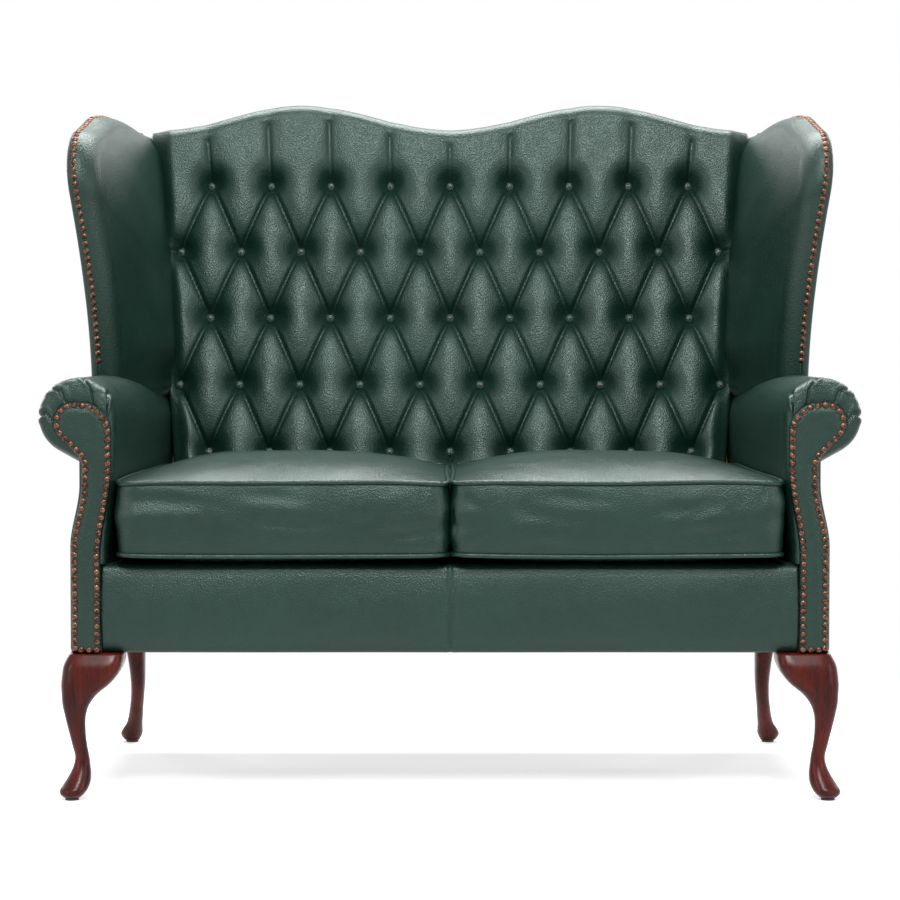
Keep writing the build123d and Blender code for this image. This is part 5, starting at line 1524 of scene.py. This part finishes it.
    def inflate(self, cover: bpy.types.Object, seams: Array) -> None:
        """Let the cover settle as cloth under the pressure of its filling, held at its seams.

        Args:
            cover: The closed cover.
            seams: Points of both seams, in metres.
        """
        scene = bpy.context.scene
        mesh = cover.data
        start = np.empty(len(mesh.vertices) * 3)
        mesh.vertices.foreach_get("co", start)
        start = start.reshape(-1, 3)
        tree = KDTree(len(seams))
        for k, spot in enumerate(seams):
            tree.insert(spot, k)
        tree.balance()
        held = [k for k, spot in enumerate(start) if tree.find(spot)[2] < 0.002]
        cover.vertex_groups.new(name="seams").add(held, 1.0, "REPLACE")
        cloth = cover.modifiers.new("cloth", "CLOTH")
        settings = cloth.settings
        settings.quality = 4
        settings.mass = 0.3
        settings.tension_stiffness = 20.0
        settings.compression_stiffness = 20.0
        settings.bending_stiffness = 1.0
        settings.use_pressure = True
        settings.uniform_pressure_force = 4.0
        settings.vertex_group_mass = "seams"
        settings.effector_weights.gravity = 0.0
        cloth.collision_settings.use_collision = False
        cloth.point_cache.frame_start = 1
        cloth.point_cache.frame_end = 20
        for step in range(1, 21):
            scene.frame_set(step)
        shown = cover.evaluated_get(bpy.context.evaluated_depsgraph_get())
        end = np.empty(len(mesh.vertices) * 3)
        shown.data.vertices.foreach_get("co", end)
        move = np.nan_to_num(end.reshape(-1, 3) - start)
        size = np.linalg.norm(move, axis=1, keepdims=True)
        cap = np.where(start[:, 1] < -0.35, 0.0012, 0.002)
        cap = np.where(np.abs(start[:, 2] - 0.52) < 0.025, 0.006, cap)[:, None]
        move *= np.minimum(1.0, cap / np.maximum(size, 1e-9))
        cover.modifiers.remove(cloth)
        cover.vertex_groups.clear()
        scene.frame_set(1)
        mesh.vertices.foreach_set("co", (start + move).ravel())
        mesh.update()
        most = float(np.linalg.norm(move, axis=1).max()) / MM
        LOG.info("%s settled, at most %.1f mm", cover.name, most)


@dataclass
class FrontBorder(Piece):
    """Padded border below the cushions with its middle seam."""

    half: float = 552.0

    def build(self) -> None:
        """Make the border and its stitches."""
        plan = self.plan
        high = plan.deck - 0.2

        def border(s: Array, t: Array) -> Array:
            """Points of the border.

            Args:
                s: Shares across.
                t: Shares from the foot up and over.

            Returns:
                Points in millimetres.
            """
            x = (2 * s - 1) * self.half
            rise = np.clip(t / 0.72, 0, 1)
            bend = np.clip((t - 0.72) / 0.14, 0, 1)
            back = np.clip((t - 0.86) / 0.14, 0, 1)
            z = plan.leg_height + rise * (high - 14.0 - plan.leg_height)
            seam = bell(x, 2.4) * 4.2 - bell(np.abs(x) - 8.0, 5.0) * 1.2
            wave = 0.7 * np.sin(x * 0.017 + 1.1 * np.sin(z * 0.03)) * np.sin(z * 0.045 + 0.4)
            depth = 12.0 - 6.5 * np.sin(np.pi * np.clip(rise, 0.02, 1)) ** 0.7 + seam * (bend < 1) + wave
            tuck = 1 - np.clip((z - plan.leg_height) / 30.0, 0, 1)
            depth = depth + 7.0 * (1 - np.sqrt(1 - np.square(tuck)))
            turn = bend * np.pi / 2
            depth = depth + 14.0 * (1 - np.cos(turn)) + back * 40.0
            z = z + 14.0 * np.sin(turn)
            return plan.point(x, depth, z)

        grid = MeshKit.grid(340, 60, border)
        piece = MeshKit.piece("front_border_hide", [grid], heart=(0.0, 900.0, -200.0))
        self.join(piece, Body.FRAME, Slot.LEATHER, ["front_border_cover", "front_border_foam"], 0.7)
        stitches = []
        for k in range(20):
            z = 242.0 + k * 6.2
            for x in (-6.0, 6.0):
                share = (z - plan.leg_height) / (high - 14.0 - plan.leg_height)
                depth = 12.0 - 6.5 * math.sin(math.pi * min(share, 1.0)) ** 0.7 - 0.9
                rope = plan.point(np.full(4, x), np.full(4, depth), np.linspace(z, z + 4.4, 4))
                rope[0, 1] += 0.8
                rope[-1, 1] += 0.8
                stitches.append(MeshKit.tube(rope, 0.55, 6, False))
        thread = MeshKit.piece("border_stitches", stitches)
        self.join(thread, Body.FRAME, Slot.LEATHER, [])


@dataclass
class SeatDeck(Piece):
    """Cloth platform below the cushions and the dust cloth under the frame."""

    half: float = 541.0
    front: float = 70.0
    rear: float = 593.0
    taper: float = 38.8
    dust_half: float = 587.7
    dust_front: float = 42.6
    dust_rear: float = 619.0
    front_notch: tuple = (512.0, 90.0)
    rear_notch: tuple = (533.0, 563.0)

    def build(self) -> None:
        """Make the padded platform and the dust cloth."""
        plan = self.plan

        def deck(s: Array, t: Array) -> Array:
            """Points of the platform.

            Args:
                s: Shares across.
                t: Shares from front to back.

            Returns:
                Points in millimetres.
            """
            depth = self.front + t * (self.rear - self.front)
            half = self.half - self.taper * t
            x = (2 * s - 1) * half
            edge = np.minimum(half - np.abs(x), np.minimum(depth - self.front, self.rear - depth))
            fall = 1 - np.sqrt(np.clip(1 - np.square(1 - np.clip(edge / 9.0, 0, 1)), 0, 1))
            seam = bell(edge - 62.0, 3.0) * 1.6
            sag = 0.9 * np.square(np.sin(x * 0.021) * np.sin(depth * 0.019)) * smooth(edge, 70.0, 110.0)
            return plan.point(x, depth, plan.deck - 0.1 - 9.0 * fall - seam - sag)

        cloth = MeshKit.piece("platform_cloth", [MeshKit.grid(200, 110, deck)], heart=(0.0, 0.0, -2000.0))
        self.join(cloth, Body.FRAME, Slot.LINING, ["platform_cover", "platform_pad"], 0.7)

        def dust(s: Array, t: Array) -> Array:
            """Points of the dust cloth.

            Args:
                s: Shares across.
                t: Shares from front to back.

            Returns:
                Points in millimetres.
            """
            inner, outer = self.front_notch[0], self.rear_notch[0]
            stops = [-self.dust_half, -outer, -inner, inner, outer, self.dust_half]
            x = np.interp(s, [0.0, 0.05, 0.1, 0.9, 0.95, 1.0], stops)
            stops = [self.dust_front, self.front_notch[1], self.rear_notch[1], self.dust_rear]
            depth = np.interp(t, [0.0, 0.1, 0.9, 1.0], stops)
            sag = 2.5 * np.sin(np.pi * s) * np.sin(np.pi * t)
            return plan.point(x, depth, plan.leg_height - 0.8 - sag)

        grid = MeshKit.grid(60, 30, dust)
        spare = []
        for face in grid.faces:
            middle = face.calc_center_median() / MM
            wide, depth = abs(middle.x), middle.y - plan.front_y
            near = depth < self.front_notch[1] and wide > self.front_notch[0]
            far = depth > self.rear_notch[1] and wide > self.rear_notch[0]
            if near or far:
                spare.append(face)
        bmesh.ops.delete(grid, geom=spare, context="FACES")
        sheet = MeshKit.piece("dust_cloth", [grid], heart=(0.0, 0.0, 2000.0), wall=0.7)
        self.join(sheet, Body.FRAME, Slot.DUST, ["dust_cover"])
        wide = 2 * self.dust_half * MM
        long = (self.dust_rear - self.dust_front) * MM
        cut = 0.0
        notches = ((self.front_notch[0], self.front_notch[1] - self.dust_front),
                   (self.rear_notch[0], self.dust_rear - self.rear_notch[1]))
        for x, run in notches:
            cut += 2 * (self.dust_half - x) * run * MM * MM
        wide * long - cut


@dataclass
class Legs(Piece):
    """Cabriole front legs and swept rear legs."""

    front: tuple = (
        (1.000, -1.0, 84.0, 7.0), (0.912, -11.0, 82.0, 5.0),
        (0.845, -13.7, 74.0, 4.0), (0.787, -15.0, 62.6, 3.4),
        (0.713, -14.0, 42.0, 2.7), (0.649, -12.7, 30.7, 2.4),
        (0.575, -9.2, 24.9, 2.3), (0.480, -4.3, 23.7, 2.2),
        (0.368, 1.6, 25.5, 2.1), (0.264, 6.0, 29.0, 2.1), (0.223, 4.2, 30.0, 2.05), (0.155, -2.7, 31.5, 2.0),
        (0.094, -11.2, 30.0, 2.0), (0.047, -17.2, 25.0, 2.0),
        (0.022, -15.5, 20.0, 2.0), (0.0, -9.0, 14.0, 2.0),
    )
    rear: tuple = (
        (1.000, 0.0, 0.0, 46.0, 56.0, 6.0), (0.850, -1.0, 6.0, 38.0, 48.0, 4.0),
        (0.651, -4.0, 16.0, 29.5, 38.0, 3.0),
        (0.468, -4.5, 30.0, 25.0, 31.0, 2.5), (0.376, -3.0, 38.0, 23.5, 28.0, 2.3),
        (0.276, 0.0, 50.0, 24.0, 27.0, 2.1),
        (0.192, 3.0, 62.0, 26.0, 28.0, 2.0), (0.135, 6.0, 71.0, 29.0, 31.0, 2.0),
        (0.085, 10.0, 79.0, 36.0, 38.0, 2.0),
        (0.050, 12.0, 82.0, 38.5, 40.0, 2.0), (0.022, 12.0, 82.0, 33.0, 34.0, 2.0),
        (0.0, 11.0, 81.0, 25.0, 26.0, 2.0),
    )

    @staticmethod
    def curve(shares: Array, values: Array, at: Array) -> Array:
        """Smooth curve through values.

        Args:
            shares: Places of the values.
            values: The values.
            at: Places to read.

        Returns:
            Values read from the curve.
        """
        order = np.argsort(shares)
        x, y = shares[order], values[order]
        slope = np.gradient(y, x)
        k = np.clip(np.searchsorted(x, at) - 1, 0, len(x) - 2)
        h = x[k + 1] - x[k]
        t = (at - x[k]) / h
        a, b = y[k], y[k + 1]
        curve = (2 * t**3 - 3 * t**2 + 1) * a + (t**3 - 2 * t**2 + t) * h * slope[k]
        return curve + (-2 * t**3 + 3 * t**2) * b + (t**3 - t**2) * h * slope[k + 1]

    def build(self) -> None:
        """Make the four legs."""
        plan = self.plan
        front = np.array(self.front)
        rear = np.array(self.rear)
        for side in Side:
            def ring(s: Array, power: Array) -> tuple[Array, Array]:
                """Points of a ring between a circle and a square.

                Args:
                    s: Shares round the ring.
                    power: 2 for a circle, more for a square.

                Returns:
                    Both coordinates.
                """
                turn = 2 * np.pi * s
                c, d = np.cos(turn), np.sin(turn)
                size = np.power(np.power(np.abs(c), power) + np.power(np.abs(d), power), -1 / power)
                return c * size, d * size

            def cabriole(s: Array, t: Array) -> Array:
                """Points of a front leg.

                Args:
                    s: Shares round the leg.
                    t: Shares from the floor up.

                Returns:
                    Points in millimetres.
                """
                share = np.clip(t / 0.97, 0, 1) ** 1.25
                close = np.clip((t - 0.97) / 0.03, 0, 1)
                close = np.where(t < 1e-6, 1.0, close)
                out = self.curve(front[:, 0], front[:, 1], share)
                inn = self.curve(front[:, 0], front[:, 2], share)
                power = self.curve(front[:, 0], front[:, 3], share)
                c, d = ring(s, power)
                half = (inn - out) / 2 * (1 - close)
                mid = (inn + out) / 2
                z = 3.0 + share * (plan.leg_height - 3.0)
                return plan.point(side.value * (plan.half_base - mid + half * c), mid + half * d, z)

            def sabre(s: Array, t: Array) -> Array:
                """Points of a rear leg.

                Args:
                    s: Shares round the leg.
                    t: Shares from the floor up.

                Returns:
                    Points in millimetres.
                """
                share = np.clip(t / 0.97, 0, 1) ** 1.25
                close = np.clip((t - 0.97) / 0.03, 0, 1)
                close = np.where(t < 1e-6, 1.0, close)
                cols = [self.curve(rear[:, 0], rear[:, k], share) for k in range(1, 6)]
                c, d = ring(s, cols[4])
                z = 3.0 + share * (plan.leg_height - 3.0)
                x = plan.half_base - 46.0 + cols[0] + cols[2] / 2 * c * (1 - close)
                return plan.point(side.value * x, 585.0 + cols[1] + cols[3] / 2 * d * (1 - close), z)

            for kind, surface in (("front", cabriole), ("rear", sabre)):
                leg = MeshKit.piece(f"{kind}_leg_wood_{side.label}", [MeshKit.grid(64, 120, surface)])
                self.join(leg, Body.FRAME, Slot.MAHOGANY, [f"{kind}_leg_{side.label}"])


@dataclass(frozen=True)
class Lamp:
    """Soft box: place and size in metres, power in watts."""

    name: str
    place: tuple
    size: tuple
    power: float


@dataclass
class Studio:
    """Floor, lamps, world and camera."""

    plan: Plan
    camera_back: float = 5261.0
    camera_height: float = 0.8315
    tilt: float = 3.0
    lens: float = 133.6
    ambient: float = 0.16
    lamps: tuple = (
        Lamp("key", (0.0, -3.5, 3.7), (1.2, 1.4), 150.0),
        Lamp("left", (-3.4, -2.6, 1.6), (0.9, 2.0), 26.0),
        Lamp("right", (3.4, -2.6, 1.6), (0.9, 2.0), 26.0),
        Lamp("top", (0.0, 1.2, 3.2), (2.6, 1.2), 130.0),
        Lamp("rear_left", (-2.6, 3.4, 2.0), (1.6, 1.6), 45.0),
        Lamp("rear_right", (2.6, 3.4, 2.0), (1.6, 1.6), 45.0),
    )

    def build(self) -> None:
        """Set the stage."""
        scene = bpy.context.scene
        scene.view_settings.view_transform = "Standard"
        self.floor()
        self.world()
        for lamp in self.lamps:
            self.light(lamp)
        data = bpy.data.cameras.new("camera")
        data.lens = self.lens
        data.sensor_width = 36.0
        data.clip_end = 60.0
        camera = bpy.data.objects.new("camera", data)
        camera.location = (0.0, (-self.camera_back + self.plan.front_y) * MM, self.camera_height)
        camera.rotation_euler = (math.radians(90.0 - self.tilt), 0.0, 0.0)
        scene.collection.objects.link(camera)
        scene.camera = camera

    def floor(self) -> None:
        """Pale floor."""
        work = bmesh.new()
        bmesh.ops.create_grid(work, x_segments=1, y_segments=1, size=9.0)
        mesh = bpy.data.meshes.new("floor")
        work.to_mesh(mesh)
        work.free()
        floor = bpy.data.objects.new("floor", mesh)
        bpy.context.scene.collection.objects.link(floor)
        shader = Shader("floor")
        shader.fix(Base_Color=(0.9, 0.9, 0.9, 1.0), Roughness=0.9, Specular_IOR_Level=0.1)
        shader.feed("Emission Color", shader.mix(shader.background(), (0.0, 0.0, 0.0), (1.0, 1.0, 1.0)))
        shader.fix(Emission_Strength=0.55)
        away = shader.node("ShaderNodeVectorMath", {0: shader.place}, "Value", operation="LENGTH")
        shader.feed("Alpha", away.ramp(0.75, 1.5, 1.0, 0.0))
        mesh.materials.append(shader.material)

    def world(self) -> None:
        """White surround for the camera, a softer one for light."""
        world = bpy.data.worlds.new("world")
        bpy.context.scene.world = world
        world.use_nodes = True
        nodes = Nodes(world.node_tree)
        white = nodes.node("ShaderNodeBackground", {"Color": (1, 1, 1, 1), "Strength": 1.0})
        soft = nodes.node("ShaderNodeBackground", {"Color": (0.95, 0.97, 1.0, 1), "Strength": self.ambient})
        both = nodes.node("ShaderNodeMixShader", {0: nodes.background(), 1: soft, 2: white})
        nodes.end("ShaderNodeOutputWorld", both)

    def light(self, lamp: Lamp) -> None:
        """Hang a soft box that faces the sofa.

        Args:
            lamp: The soft box.
        """
        data = bpy.data.lights.new(lamp.name, "AREA")
        data.shape = "RECTANGLE"
        data.size, data.size_y = lamp.size
        data.energy = lamp.power
        box = bpy.data.objects.new(lamp.name, data)
        box.location = lamp.place
        box.rotation_euler = (Vector((0, 0, 0.6)) - Vector(lamp.place)).to_track_quat("-Z", "Y").to_euler()
        bpy.context.scene.collection.objects.link(box)


@dataclass
class HiddenFrame(Piece):
    """CAD nodes that stay as they are, given their finish."""

    def build(self) -> None:
        """Dress every CAD node by its slot."""
        slots = {row["node"]: row["material_slot"] for row in frame["record"]["subparts"]}
        for name, node in frame["nodes"].items():
            self.finishes.dress(node, Slot(slots[name]))


class Sofa:
    """The whole sofa."""

    def __init__(self) -> None:
        """Gather the sub-assemblies."""
        finishes = Finishes()
        self.parts: list[Piece] = [HiddenFrame(finishes), ButtonedBack(finishes), FrontBorder(finishes),
                                   SeatDeck(finishes), Legs(finishes)]
        for side in Side:
            for kind in (Arm, Wing, SeatCushion):
                self.parts.append(kind(finishes, side=side))

    def build(self) -> None:
        """Build every sub-assembly."""
        for part in self.parts:
            part.build()
            LOG.info("built %s", type(part).__name__)


def main() -> None:
    """Build the sofa and its stage."""
    logging.basicConfig(level=logging.INFO)
    Sofa().build()
    Studio(PLAN).build()


if __name__ == "__main__":
    main()
